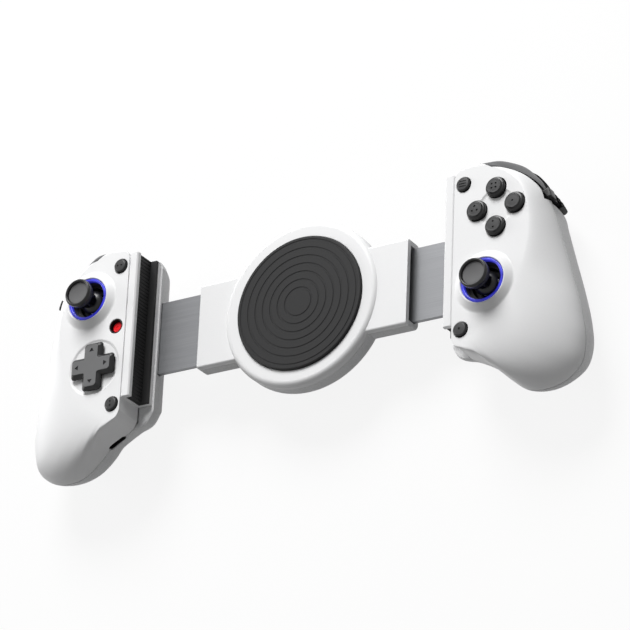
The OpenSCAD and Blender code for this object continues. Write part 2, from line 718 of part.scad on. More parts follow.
module jaw_liner(side) {
  rest = seat_gap / 2;
  color([0.1, 0.1, 0.1]) on_side(side) translate([0, jaw_low + 0.2, 0])
    rotate([90, 0, 0]) mirror([0, 0, 1]) linear_extrude(jaw_len - 0.4) polygon([
      [foot_in, -liner_floor + rest], [-jaw_t - rest, -liner_floor + rest], [-jaw_t - rest, lip_z - rest],
      [-jaw_depth, lip_z - rest], [-jaw_depth, 0], [foot_in, 0]
    ]);
}
module left_jaw_liner() { jaw_liner(-1); }
module right_jaw_liner() { jaw_liner(1); }

// Electronics

module circuit_board(side) {
  buttons = side < 0 ? [top_button_at, mode_button_at, bottom_button_at] : [top_button_at, bottom_button_at];
  color("darkgreen") on_side(side) {
    translate([0, 0, board_top - board_t]) linear_extrude(board_t) difference() {
      polygon([
        [1.6, 29.6], [9, 30], [17, 27.6], [25, 21], [29.6, 12], [31.6, 0], [29.6, -14], [24, -27], [14, -34],
        [1.6, -34]
      ]);
      translate([SHELL_SCREWS[0].x, SHELL_SCREWS[0].y]) circle(r = post_r + run_gap);
    }
    for (at = buttons) translate([at.x - 1.7, at.y - 1.7, board_top - 0.1]) cube([3.4, 3.4, 1.6]);
  }
}
module left_circuit_board() { circuit_board(-1); }
module right_circuit_board() { circuit_board(1); }

module battery(side) {
  r = 1.5;
  w = 12;
  l = 21;
  h = 7;
  color("lightsteelblue") on_side(side) translate([22, -34, back_z + wall + run_gap]) union() {
    translate([r, 0, 0]) cube([w - 2 * r, l, h]);
    translate([0, 0, r]) cube([w, l, h - 2 * r]);
    for (x = [r, w - r], z = [r, h - r]) translate([x, 0, z]) rotate([-90, 0, 0]) cylinder(r = r, h = l);
  }
}
module left_battery() { battery(-1); }
module right_battery() { battery(1); }

module charge_port() {
  color("dimgray") on_side(-1) port_place() translate([0, 0, -port_l - 0.3]) difference() {
    linear_extrude(port_l) stadium(port_w, port_h);
    translate([0, 0, 1]) linear_extrude(port_l) stadium(port_w - 0.7, port_h - 0.7);
  }
}

// Sticks

module at_stick(side) {
  at = side < 0 ? upper_at : lower_at;
  on_side(side) translate([at.x, at.y, 0]) children();
}

module light_ring(side) {
  low = well_z + well_t + seat_gap;
  color("mediumblue") at_stick(side) rotate_extrude() polygon([
    [ring_in, low], [ring_r, low], [ring_r, face_z + collar_rise - 0.4],
    [ring_r - 0.3, face_z + collar_rise - 0.1],
    [ring_in + 0.2, face_z + collar_rise - 0.3]
  ]);
}
module left_light_ring() { light_ring(-1); }
module right_light_ring() { light_ring(1); }

module stick_base(side) {
  low = board_top + seat_gap / 2;
  cup_r = 6.2;
  color([0.12, 0.12, 0.12]) at_stick(side) difference() {
    union() {
      translate([0, 0, low]) cylinder(r = ring_r - 0.2, h = 0.8);
      translate([0, 0, low]) cylinder(r = cup_r, h = pivot_z + 1.4 - low);
      for (a = [45:90:315]) rotate(a) translate([(cup_r + ring_r) / 2 + 0.2, 0, low])
        cylinder(r = 0.8, h = well_z + 0.1 - low);
      translate([0, 0, well_z]) difference() {
        cylinder(r = ring_r + 0.1, h = well_t);
        translate([0, 0, -1]) cylinder(r = well_in, h = well_t + 2);
      }
    }
    translate([0, 0, low + 0.9]) cylinder(r = gimbal_r + 0.7, h = 20);
    translate([0, 0, pivot_z]) rotate([90, 0, 0])
      cylinder(r = trunnion_r + pin_gap, h = 2 * cup_r + 1, center = true);
  }
}
module left_stick_base() { stick_base(-1); }
module right_stick_base() { stick_base(1); }

module stick_gimbal(side) {
  color("gainsboro") at_stick(side) translate([0, 0, pivot_z]) difference() {
    union() {
      cylinder(r = gimbal_r, h = gimbal_h, center = true);
      rotate([90, 0, 0]) cylinder(r = trunnion_r, h = 2 * gimbal_r + 3.4, center = true);
    }
    cylinder(r = gimbal_in, h = 10, center = true);
    rotate([0, 90, 0]) cylinder(r = cross_pin_r + pin_gap, h = 20, center = true);
  }
}
module left_stick_gimbal() { stick_gimbal(-1); }
module right_stick_gimbal() { stick_gimbal(1); }

shaft_top = face_z + cap_rise - 4.6;
module stick_shaft(side) {
  color("gray") at_stick(side) union() {
    translate([0, 0, pivot_z - 1.7]) cylinder(r = shaft_r, h = shaft_top - pivot_z + 1.7);
    translate([0, 0, pivot_z]) rotate([0, 90, 0])
      cylinder(r = cross_pin_r, h = 2 * gimbal_r - 0.6, center = true);
  }
}
module left_stick_shaft() { stick_shaft(-1); }
module right_stick_shaft() { stick_shaft(1); }

module stick_cap(side) {
  top = face_z + cap_rise;
  bore = shaft_r + pin_gap;
  inner = dome_r - dome_t;
  bore_edge = asin(bore / inner);
  neck = 3;
  neck_edge = asin(neck / dome_r);
  color([0.13, 0.13, 0.14]) at_stick(side) rotate_extrude() polygon(concat(
    [[0, shaft_top + click + 0.2], [bore, shaft_top + click + 0.2]],
    [for (k = [0:4]) let (a = bore_edge + (dome_edge - bore_edge) * k / 4)
      [inner * sin(a), pivot_z + inner * cos(a)]],
    [for (k = [0:4]) let (a = dome_edge + (neck_edge - dome_edge) * k / 4)
      [dome_r * sin(a), pivot_z + dome_r * cos(a)]],
    [[neck, top - 7], [neck + 0.1, top - 5.3], [cap_r - 1.8, top - 4.3], [cap_r - 0.95, top - 3.8]],
    [[cap_r - 0.8, top - 3.1], [cap_r - 0.8, top - 2.6], [cap_r - 0.2, top - 2.3], [cap_r, top - 1.8]],
    [for (a = [0:30:150]) [cap_r - 0.7 + 0.7 * cos(a), top - 0.7 + 0.7 * sin(a)]],
    [[cap_r - 1.8, top - 0.9], [cap_r - 3, top - 1.3], [0, top - 1.6]]
  ));
}
module left_stick_cap() { stick_cap(-1); }
module right_stick_cap() { stick_cap(1); }

// Buttons

mat_t = 1;
module key_mat(side) {
  low = board_top + seat_gap / 2;
  at = side < 0 ? lower_at : upper_at;
  pitch = side < 0 ? cross_l / 2 - 2.6 : action_pitch;
  dome_top = side < 0 ? flange_z - 1.3 : button_foot - press - 0.2;
  color([0.75, 0.75, 0.72]) on_side(side) translate([at.x, at.y, low]) difference() {
    union() {
      cylinder(r = pitch + 3.6, h = mat_t);
      for (a = [0:90:270]) rotate(a) translate([pitch, 0, 0])
        cylinder(r1 = 2.9, r2 = 2.1, h = dome_top - low);
    }
    translate([0, 0, -1]) cylinder(r = seat_r + run_gap, h = 20);
  }
}
module left_key_mat() { key_mat(-1); }
module right_key_mat() { key_mat(1); }

button_foot = board_top + 3.8;
button_flange = 0.9;
module action_button(angle) {
  top = face_z + 2.1;
  low = face_in - seat_gap - button_flange;
  color([0.1, 0.1, 0.1]) on_side(1) translate([upper_at.x, upper_at.y, 0]) rotate(angle)
    translate([action_pitch, 0, 0]) rotate_extrude() polygon(concat(
      [[0, button_foot], [2.2, button_foot], [2.2, low], [action_r + 0.8, low]],
      [[action_r + 0.8, low + button_flange], [action_r, low + button_flange]],
      [for (a = [0:18:90]) [action_r - 1.2 * (1 - cos(a)), top - 0.9 * (1 - sin(a))]],
      [[0, top + 0.1]]
    ));
}
module action_button_top() { action_button(90); }
module action_button_right() { action_button(0); }
module action_button_bottom() { action_button(270); }
module action_button_left() { action_button(180); }

// Small button with two side lugs that hold it under the face
module small_button(side, at, proud, tint, r = small_r) {
  top = face_z + proud;
  foot = board_top + 1.5 + press * 0.6 + 0.3;
  color(tint) on_side(side) translate([at.x, at.y, 0]) union() {
    rotate_extrude() polygon(concat(
      [[0, foot], [r, foot]],
      [for (a = [0:18:90]) [r - 0.8 * (1 - cos(a)), top - 0.6 * (1 - sin(a))]],
      [[0, top + 0.1]]
    ));
    translate([-1.2, -small_r - 0.65, face_in - seat_gap - button_flange])
      cube([2.4, 2 * small_r + 1.3, button_flange]);
  }
}
module left_top_button() { small_button(-1, top_button_at, 1, [0.1, 0.1, 0.1]); }
module left_mode_button() { small_button(-1, mode_button_at, -1.5, "crimson", small_r - 0.35); }
module left_bottom_button() { small_button(-1, bottom_button_at, 1, [0.1, 0.1, 0.1]); }
module right_top_button() { small_button(1, top_button_at, 1, [0.1, 0.1, 0.1]); }
module right_bottom_button() { small_button(1, bottom_button_at, 1, [0.1, 0.1, 0.1]); }

// Direction pad on a ball

seat_r = 3.6;
module at_cross() { on_side(-1) translate([lower_at.x, lower_at.y, 0]) children(); }
module direction_pad() {
  top = face_z + cross_rise;
  color([0.3, 0.3, 0.31]) at_cross() difference() {
    union() {
      translate([0, 0, flange_z]) cylinder(r = flange_r, h = flange_t);
      translate([0, 0, ball_z + 0.3]) cylinder(r = seat_r + 0.6, h = flange_z - ball_z);
      translate([0, 0, flange_z]) linear_extrude(top - flange_z - 0.6) cross(0);
      translate([0, 0, top - 0.7]) linear_extrude(0.7) cross(-0.5);
    }
    translate([0, 0, ball_z]) sphere(r = ball_r + pin_gap);
    translate([0, 0, top - 0.5]) cylinder(r1 = 1.6, r2 = 2.4, h = 0.51);
    for (a = [0:90:270]) rotate(a) translate([cross_l / 2 - 3, 0, top - 0.35]) linear_extrude(1)
      polygon([[1.1, 0], [-0.7, 1.2], [-0.7, -1.2]]);
  }
}
module pad_ball() { color("silver") at_cross() translate([0, 0, ball_z]) sphere(r = ball_r); }
module pad_seat() {
  low = board_top + seat_gap / 2;
  color([0.2, 0.2, 0.2]) at_cross() difference() {
    translate([0, 0, low]) cylinder(r = seat_r, h = ball_z - 0.3 - low);
    translate([0, 0, ball_z]) sphere(r = ball_r + pin_gap);
  }
}

// Shoulder: bumper in front, trigger behind it, both on one fixed frame

module bumper(side) {
  steps = 18;
  us = [for (k = [0:steps]) bumper_start + (bumper_end - bumper_start) * k / steps];
  color([0.42, 0.42, 0.43]) on_side(side) difference() {
    union() {
      skin([for (u = us) shoulder_section(u, press_gap(u))], true);
      translate([bumper_pivot.x, bumper_pivot.y, bumper_back + 1.4])
        cylinder(r = bumper_pivot_r + 1.3, h = bumper_top - 2.2 - bumper_back - 1.4);
    }
    translate([bumper_pivot.x, bumper_pivot.y, bumper_back - 1])
      cylinder(r = bumper_pivot_r + pin_gap, h = bumper_top + 1 - bumper_back);
  }
}
module left_bumper() { bumper(-1); }
module right_bumper() { bumper(1); }

module on_pin() {
  translate([pin_from.x, pin_from.y, pin_z]) rotate([0, 0, pin_turn]) rotate([0, 90, 0]) children();
}

module trigger(side) {
  length = norm(rim_point(trigger_end, 0) - rim_point(trigger_start, 0)) * 1.16;
  steps = 2 * round(length / rib_pitch);
  us = [for (k = [0:steps]) trigger_start + (trigger_end - trigger_start) * k / steps];
  function rib(k) = k % 2 == 0 ? 0.3 : 0;
  function flare(u) = 0.5 * pow(max(0, (u - 5.6) / (trigger_end - 5.6)), 2);
  function down(f) = trigger_front + f * (trigger_back - trigger_front);
  color([0.12, 0.12, 0.12]) on_side(side) difference() {
    union() {
      skin([for (k = [0:steps]) let (u = us[k], r = rib(k) + flare(u)) [for (q = [
          [0.9 + r, 0], [1 + r, 0.27], [1.1 + r, 0.53], [1.5 + r, 0.8], [1.9 + r, 0.95], [1.4 + flare(u), 1],
          [-0.2, 0.97], [-0.9, 0.8], [-1.3, 0.53], [-1.3, 0.27], [-1.5, 0]
        ]) rear_at(u - trigger_lean * q.y * k / steps, down(q.y), q.x)]], true);
      on_pin() for (x = RIBS) translate([0, 0, x]) {
        cylinder(r = ear_r, h = ear_t);
        translate([-ear_r, 0, 0]) cube([2 * ear_r, rib_reach, ear_t]);
      }
    }
    on_pin() for (x = RIBS) translate([0, 0, x - run_gap])
      cylinder(r = pin_r + pin_gap, h = ear_t + 2 * run_gap);
  }
}
module left_trigger() { trigger(-1); }
module right_trigger() { trigger(1); }

module trigger_pin(side) {
  color("silver") on_side(side) on_pin()
    translate([0, 0, LUGS[0] + 0.4]) cylinder(r = pin_r, h = LUGS[1] - LUGS[0] + lug_t - 0.8);
}
module left_trigger_pin() { trigger_pin(-1); }
module right_trigger_pin() { trigger_pin(1); }

module trigger_spring(side) {
  color("silver") on_side(side) on_pin()
    translate([0, 0, RIBS[0] + ear_t + run_gap]) rotate([0, -90, 0]) coil(6, 1.75, 0.3, 5);
}
module left_trigger_spring() { trigger_spring(-1); }
module right_trigger_spring() { trigger_spring(1); }

module shoulder_frame(side) {
  web_in = 4.4;
  web_t = 1.4;
  web_low = back_z + 5.4;
  web_high = bumper_back + 2.4;
  color([0.1, 0.1, 0.1]) on_side(side) difference() {
    union() {
      translate([pin_from.x, pin_from.y, 0]) rotate(pin_turn) {
        translate([LUGS[0], -web_in - web_t, web_low])
          cube([LUGS[1] - LUGS[0] + lug_t, web_t, web_high - web_low]);
        for (x = LUGS) translate([x, -web_in - 0.1, pin_z - ear_r])
          cube([lug_t, web_in + 0.1 + pin_r + 0.8, 2 * ear_r - 0.4]);
      }
      skin([for (k = [0:3]) let (u = block_start + (block_end - end_gap - block_start) * k / 3)
        shoulder_section(u, 2 * seat_gap)], true);
      translate([0, 0, bumper_back + 0.2]) linear_extrude(2)
        rim_band(bumper_end + 2 * end_gap, block_end - end_gap, -14, 0, 3);
    }
    on_pin() translate([0, 0, -10]) cylinder(r = pin_r + pin_gap / 2, h = pin_span + 20);
  }
}
module left_shoulder_frame() { shoulder_frame(-1); }
module right_shoulder_frame() { shoulder_frame(1); }

hub_front_cover();
hub_rear_cover();
rest_pad();
sync_pinion();
hub_screws();
left_return_spring();
right_return_spring();
left_slide_plate();
right_slide_plate();
left_plate_screws();
right_plate_screws();
left_front_shell();
right_front_shell();
left_rear_shell();
right_rear_shell();
left_shell_screws();
right_shell_screws();
left_jaw();
right_jaw();
left_jaw_liner();
right_jaw_liner();
left_circuit_board();
right_circuit_board();
left_battery();
right_battery();
left_light_ring();
right_light_ring();
left_stick_base();
right_stick_base();
left_stick_gimbal();
right_stick_gimbal();
left_stick_shaft();
right_stick_shaft();
left_stick_cap();
right_stick_cap();
left_key_mat();
right_key_mat();
direction_pad();
pad_ball();
pad_seat();
action_button_top();
action_button_right();
action_button_bottom();
action_button_left();
left_top_button();
left_mode_button();
left_bottom_button();
right_top_button();
right_bottom_button();
left_bumper();
right_bumper();
left_trigger();
right_trigger();
left_shoulder_frame();
right_shoulder_frame();
left_trigger_pin();
right_trigger_pin();
left_trigger_spring();
right_trigger_spring();
charge_port();
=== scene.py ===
"""Telescopic game controller: smooth moulded pieces, finishes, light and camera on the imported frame.

Lengths in the shape functions are millimetres of the row frame. Grip pieces are drawn on the right
grip, with x counted from the grip's inner wall, and are mirrored for the left one. Profiles that are
turned are lists of (radius, height).
"""

import bmesh
import bpy
import numpy as np
from mathutils import Matrix, Vector


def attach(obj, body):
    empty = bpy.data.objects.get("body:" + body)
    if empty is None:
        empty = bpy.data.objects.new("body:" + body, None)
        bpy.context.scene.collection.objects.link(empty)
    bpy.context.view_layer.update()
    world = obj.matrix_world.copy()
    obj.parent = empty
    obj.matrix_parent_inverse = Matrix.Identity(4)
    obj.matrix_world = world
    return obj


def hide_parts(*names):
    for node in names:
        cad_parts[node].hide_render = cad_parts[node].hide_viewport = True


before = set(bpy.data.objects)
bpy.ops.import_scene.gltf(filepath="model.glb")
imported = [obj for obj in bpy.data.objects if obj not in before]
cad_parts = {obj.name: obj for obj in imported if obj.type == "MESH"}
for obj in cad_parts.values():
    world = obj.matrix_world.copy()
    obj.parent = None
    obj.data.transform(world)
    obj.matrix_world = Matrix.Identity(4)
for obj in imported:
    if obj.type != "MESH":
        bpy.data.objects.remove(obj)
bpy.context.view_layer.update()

MM = 0.001

# Right grip: its inner wall at rest, heights of the face, the face's inside and the back, and the walls
GRIP_X = 77.0
FACE = 10.6
FACE_IN = 8.6
BACK = -23.4
SEAM = 0.15
WALL = 2.0
GROOVE_IN, GROOVE_UP = 0.25, 0.32

# Controls: centres on the grip, heights of the sticks' pivot and of the tops, and holes
UPPER = np.array([18.5, 16.0])
LOWER = np.array([14.0, -15.0])
TOP_BUTTON = np.array([4.0, 28.9])
BOTTOM_BUTTON = np.array([4.0, -33.2])
MODE_BUTTON = np.array([4.5, 1.7])
PIVOT = 4.5
PAD_TOP = FACE + 2.5
KEY_TOP = FACE + 2.1
KEY_RING = 8.3
SMALL_KEY_PROUD = 1.0
SMALL_HOLE = 3.25
DISH_FLOOR = FACE - 0.5

# Places round the grip, counted in stations
BUMPER_FROM, BUMPER_TO = 2.6, 6.14
TRIGGER_FROM, TRIGGER_TO = 2.75, 6.46
BLOCK_FROM, BLOCK_TO = 6.08, 6.44
SHOULDER_END = 6.52
PORT_AT = 17.45
SIDES = {"left": -1, "right": 1}
STICK = {-1: UPPER, 1: LOWER}

# Stations round the grip: rim x, y, z, face x, y, rear rim x, y, back x, y, front and rear fullness
RIM, RIM_Z, FACE_XY, REAR, BACK_XY = slice(0, 2), 2, slice(3, 5), slice(5, 7), slice(7, 9)
FRONT_FULL, REAR_FULL = 9, 10
STATIONS = np.array([
    [0, 32.2, -3, 0, 32.2, -7.2, 31.5, 14, 18, 5, 2],
    [1.3, 35, -3, 1.2, 34.4, -4.6, 35.6, 14.2, 21.4, 5, 2],
    [5, 36.8, -3, 4.6, 35.3, 5, 36.8, 15, 24, 4, 2.2],
    [13.5, 38.4, -1.2, 12.8, 35.2, 13.5, 38.4, 17, 26, 2.6, 2.4],
    [24, 35.4, 0.5, 21.2, 31.3, 24, 35.4, 21, 24.5, 1.6, 2.4],
    [31.4, 30, 1, 27.4, 25.8, 31.4, 30, 24.5, 20.5, 1.6, 2.4],
    [36.2, 23.2, 1, 30.6, 19.5, 36.2, 23.2, 26.5, 13.5, 1.6, 2.4],
    [39.4, 12, 0.8, 32.4, 10, 39.4, 12, 28, 4, 1.6, 2.4],
    [42.6, -0.8, -0.4, 32.4, 0, 42.6, -0.8, 30.5, -6, 1.6, 2.4],
    [46.4, -16, -1.7, 30, -10, 46.4, -16, 33, -15, 1.6, 2.4],
    [49.2, -29, -2.9, 26, -20, 49.2, -29, 35, -24, 1.8, 2.3],
    [50.4, -41, -3.7, 21.5, -27.5, 50.4, -41, 35.5, -31, 1.8, 2.1],
    [48.4, -50.2, -4.2, 17.5, -32, 48.4, -50.2, 34, -36, 1.75, 1.8],
    [42, -55.8, -4.4, 14, -34.6, 42, -55.8, 31, -38.5, 1.75, 1.6],
    [33.5, -57.8, -4.4, 11, -36.2, 33.5, -57.8, 28, -38.8, 1.8, 1.6],
    [25.5, -56.4, -4.4, 8.4, -37.3, 25.5, -56.4, 25, -36.5, 1.95, 1.6],
    [18.3, -51, -4.4, 6, -38.1, 18.3, -51, 22.5, -31, 2.4, 1.7],
    [12.8, -45.8, -4, 4.2, -38.6, 12.8, -45.8, 19.5, -22, 3.6, 1.8],
    [6, -42, -3.3, 2.4, -38.9, 3, -40.3, 16.5, -14, 6, 2],
    [1.6, -39.4, -3, 1, -38.5, -4, -37.9, 15, -9, 6, 2],
    [0, -36.6, -3, 0, -36.2, -7.2, -33, 14, -6, 6, 2],
])
LAST = len(STATIONS) - 1
HALVES = np.arange(2 * LAST + 1) / 2


# Materials

class Value:
    """An output socket of a node tree; arithmetic on it adds Math nodes."""

    def __init__(self, nodes, socket):
        self.nodes = nodes
        self.socket = socket

    def math(self, operation, *others):
        return self.nodes.node("ShaderNodeMath", {"operation": operation}, [self, *others])

    def __add__(self, other):
        return self.math("ADD", other)

    def __sub__(self, other):
        return self.math("SUBTRACT", other)

    def __mul__(self, other):
        return self.math("MULTIPLY", other)

    def __truediv__(self, other):
        return self.math("DIVIDE", other)

    def __radd__(self, other):
        return self + other

    def __rmul__(self, other):
        return self * other

    def __rsub__(self, other):
        return self.nodes.node("ShaderNodeMath", {"operation": "SUBTRACT"}, [other, self])

    def __rtruediv__(self, other):
        return self.nodes.node("ShaderNodeMath", {"operation": "DIVIDE"}, [other, self])

    def sine(self):
        return self.math("SINE")

    def absolute(self):
        return self.math("ABSOLUTE")

    def power(self, exponent):
        return self.math("POWER", exponent)

    def step(self, low, high):
        """0 below low, 1 above high, smooth between them."""
        return self.nodes.node(
            "ShaderNodeMapRange", {"interpolation_type": "SMOOTHSTEP"}, {"Value": self, 1: low, 2: high}
        )


class Nodes:
    """A node tree; node() adds a node and links or sets its inputs."""

    def __init__(self, tree):
        self.tree = tree

    def node(self, kind, settings=(), inputs=(), out=0):
        """New node's output; settings are its attributes, inputs its sockets by place or by name."""
        made = self.tree.nodes.new(kind)
        for key, value in dict(settings).items():
            setattr(made, key, value)
        self.feed(made, inputs)
        return Value(self, made.outputs[out])

    def feed(self, made, inputs):
        """Links each Value to a node's input and sets the other inputs directly."""
        for key, value in inputs.items() if isinstance(inputs, dict) else enumerate(inputs):
            if isinstance(value, Value):
                self.tree.links.new(value.socket, made.inputs[key])
            else:
                made.inputs[key].default_value = value


class Finish(Nodes):
    """A material of one Principled surface, whose textures follow the object's own coordinates."""

    def __init__(self, name, **surface):
        self.material = bpy.data.materials.new(name)
        self.material.use_nodes = True
        super().__init__(self.material.node_tree)
        self.surface = self.tree.nodes["Principled BSDF"]
        self.place = self.node("ShaderNodeTexCoord", out="Object")
        self.set(**surface)

    def set(self, **surface):
        """Sets or links surface inputs, named in lower case with underscores."""
        labels = {"specular_ior_level": "Specular IOR Level"}
        self.feed(self.surface, {
            labels.get(key, key.replace("_", " ").title()): value for key, value in surface.items()
        })
        return self

    def axes(self):
        """The object's x, y and z, in metres."""
        made = self.node("ShaderNodeSeparateXYZ", (), [self.place]).socket.node
        return [Value(self, made.outputs[k]) for k in range(3)]

    def noise(self, size, detail=2.0, stretch=(1, 1, 1)):
        """Noise from 0 to 1 with features of about size millimetres."""
        scaled = self.node("ShaderNodeVectorMath", {"operation": "MULTIPLY"}, [self.place, stretch])
        return self.node("ShaderNodeTexNoise", (), {
            "Vector": scaled, "Scale": 1 / (size * MM), "Detail": detail
        })

    def dots(self, size):
        """Distance to the nearest of scattered points about size millimetres apart, 0 to about 1."""
        return self.node("ShaderNodeTexVoronoi", (), {"Vector": self.place, "Scale": 1 / (size * MM)})

    def between(self, amount, low, high):
        """Colour from low to high by amount; each end is a colour or a Value."""
        low, high = (end if isinstance(end, Value) else (*end, 1) for end in (low, high))
        return self.node("ShaderNodeMix", {"data_type": "RGBA"}, {0: amount, 6: low, 7: high}, out=2)

    def bump(self, height, depth):
        """Relief of depth millimetres where height goes from 0 to 1."""
        self.set(normal=self.node(
            "ShaderNodeBump", (), {"Height": height, "Distance": depth * MM, "Strength": 1.0}
        ))
        return self


def moulded(name, low, high, rough, grain, depth, **surface):
    """Moulded plastic: cloudy, speckled tone from low to high, and spark-eroded grain of a size and depth."""
    made = Finish(name, **surface)
    cloud = made.noise(14, 3)
    fine = made.noise(grain, 3)
    made.set(
        base_color=made.between(0.4 * cloud + 0.6 * made.noise(0.6, 1), low, high),
        roughness=rough - 0.06 + 0.12 * (0.5 * cloud + 0.5 * fine),
    )
    return made.bump(fine, depth)


def stippled(name, low, high, rough, pitch, depth):
    """Grip texture: scattered raised dots over moulded plastic."""
    made = Finish(name, specular_ior_level=0.35)
    cloud = made.noise(12, 3)
    dot = made.dots(pitch)
    made.set(base_color=made.between(dot.step(0.15, 0.6), high, low), roughness=rough + 0.1 * cloud)
    return made.bump(1 - dot.step(0.1, 0.55), depth)


def brushed(name, low, high, rough, stretch):
    """Brushed metal: streaks along one axis in tone, roughness and relief."""
    made = Finish(name, metallic=1.0)
    streak = made.noise(0.5, 4, stretch)
    made.set(base_color=made.between(streak, low, high), roughness=rough + 0.18 * streak)
    return made.bump(streak, 0.01)


def glowing(name, centre, colour, core):
    """Light guide: black below, and a lit upper lip whose glow swells near eight lamps round the ring."""
    made = Finish(name, roughness=0.3)
    x, y, z = made.axes()
    turn = (y - centre[1] * MM).math("ARCTAN2", x - centre[0] * MM)
    lamp = (turn * 4).sine().absolute()
    lit = made.between(lamp, colour, core)
    lip = z.step(10.8 * MM, 11.3 * MM)
    shine = made.between(lip, (0.004, 0.004, 0.012), lit)
    made.set(base_color=shine, emission_color=shine, emission_strength=0.45)
    return made


def thumb_rubber(name, centre):
    """Black rubber whose dished top, within 4.6 mm of the axis, is matt and painted a lighter grey: the matt
    roughness is the rubber's own, the lighter grey is painted light.
    """
    made = Finish(name, specular_ior_level=0.3)
    x, y, z = made.axes()
    away = ((x - centre[0] * MM).power(2) + (y - centre[1] * MM).power(2)).power(0.5)
    # painted light: the dish is painted lighter grey where the top catches the light; its higher roughness is
    # a real matt finish
    lit_matt_dish = (1 - away.step(4.5 * MM, 4.7 * MM)) * z.step(17.8 * MM, 18.4 * MM)
    fine = made.noise(0.22, 3)
    tone = made.between(made.noise(6, 3), (0.006, 0.006, 0.0065), (0.010, 0.010, 0.0105))
    made.set(
        base_color=made.between(lit_matt_dish, tone, (0.12, 0.12, 0.122)),
        roughness=0.26 + 0.34 * lit_matt_dish + 0.06 * fine,
    )
    return made.bump(fine, 0.012)


def key_plastic_painted_light(name, low, high, rough, level):
    """Moulded plastic, matt on its top face above level and polished below it; the top face is also painted
    lighter as painted light, so that the sides and sunk marks below it read as painted shade.
    """
    made = Finish(name, specular_ior_level=0.3)
    z = made.axes()[2]
    fine = made.noise(0.14, 3)
    # painted light: everything above level is painted lighter than the sides and the sunk marks below it
    top = z.step((level - 0.12) * MM, (level - 0.04) * MM)
    made.set(
        base_color=made.between(top * (0.85 + 0.15 * made.noise(8)), low, high),
        roughness=rough + 0.14 * top + 0.06 * fine,
    )
    return made.bump(fine, 0.006)


def printed_board(name):
    """Green solder mask with a pattern of tracks below it."""
    made = Finish(name, coat_weight=0.4)
    x, y, _ = made.axes()
    track = ((x * 3800).sine().absolute() * (y * 2900).sine().absolute()).step(0.5, 0.6)
    made.set(
        base_color=made.between(track, (0.005, 0.05, 0.02), (0.02, 0.14, 0.06)),
        roughness=0.32 + 0.2 * made.noise(3),
    )
    return made.bump(track, 0.02)


WHITE = moulded("white_shell", (0.83, 0.832, 0.838), (0.88, 0.881, 0.884), 0.46, 0.22, 0.008,
                specular_ior_level=0.35)
GRAINED = stippled("white_grip_texture", (0.72, 0.722, 0.728), (0.85, 0.851, 0.855), 0.5, 0.42, 0.03)
RUBBER = moulded("black_rubber", (0.009, 0.009, 0.0095), (0.015, 0.015, 0.0155), 0.6, 0.2, 0.012,
                 specular_ior_level=0.25)
SILICONE = moulded("silicone_mat", (0.42, 0.42, 0.40), (0.5, 0.5, 0.47), 0.55, 0.3, 0.01)
BLACK = moulded("black_plastic", (0.008, 0.008, 0.0085), (0.014, 0.014, 0.0145), 0.32, 0.12, 0.004,
                specular_ior_level=0.22)
RIBBED = moulded("black_trigger_plastic", (0.006, 0.006, 0.0065), (0.011, 0.011, 0.0115), 0.5, 0.12, 0.004,
                 specular_ior_level=0.06)
# Pads and keys: painted light on their top faces, so that their sides and sunk marks read as painted shade
DARK = key_plastic_painted_light("dark_pad_plastic", (0.006, 0.006, 0.0065), (0.145, 0.146, 0.148), 0.34, PAD_TOP)
KEY = key_plastic_painted_light("black_action_key_plastic", (0.007, 0.007, 0.0075), (0.042, 0.042, 0.043), 0.28, KEY_TOP)
KEYLET = key_plastic_painted_light("black_small_key_plastic", (0.007, 0.007, 0.0075), (0.036, 0.036, 0.037), 0.28,
               FACE + SMALL_KEY_PROUD)
GREY = moulded("grey_shoulder_plastic", (0.115, 0.116, 0.119), (0.145, 0.146, 0.149), 0.42, 0.14, 0.006,
               specular_ior_level=0.12)
RED = moulded("red_button_plastic", (0.86, 0.013, 0.019), (0.95, 0.019, 0.027), 0.34, 0.12, 0.004,
              specular_ior_level=0.2)
PALE = moulded("pale_gear_plastic", (0.66, 0.63, 0.52), (0.72, 0.69, 0.58), 0.45, 0.3, 0.006)
STEEL = brushed("turned_steel", (0.4, 0.4, 0.41), (0.56, 0.56, 0.57), 0.26, (1, 1, 6))
PLATE = brushed("brushed_plate", (0.16, 0.163, 0.17), (0.24, 0.244, 0.252), 0.36, (0.02, 3, 3))
BOARD = printed_board("circuit_board")
CELL = brushed("cell_foil", (0.5, 0.52, 0.56), (0.62, 0.64, 0.68), 0.34, (1, 0.3, 1))


# Meshes

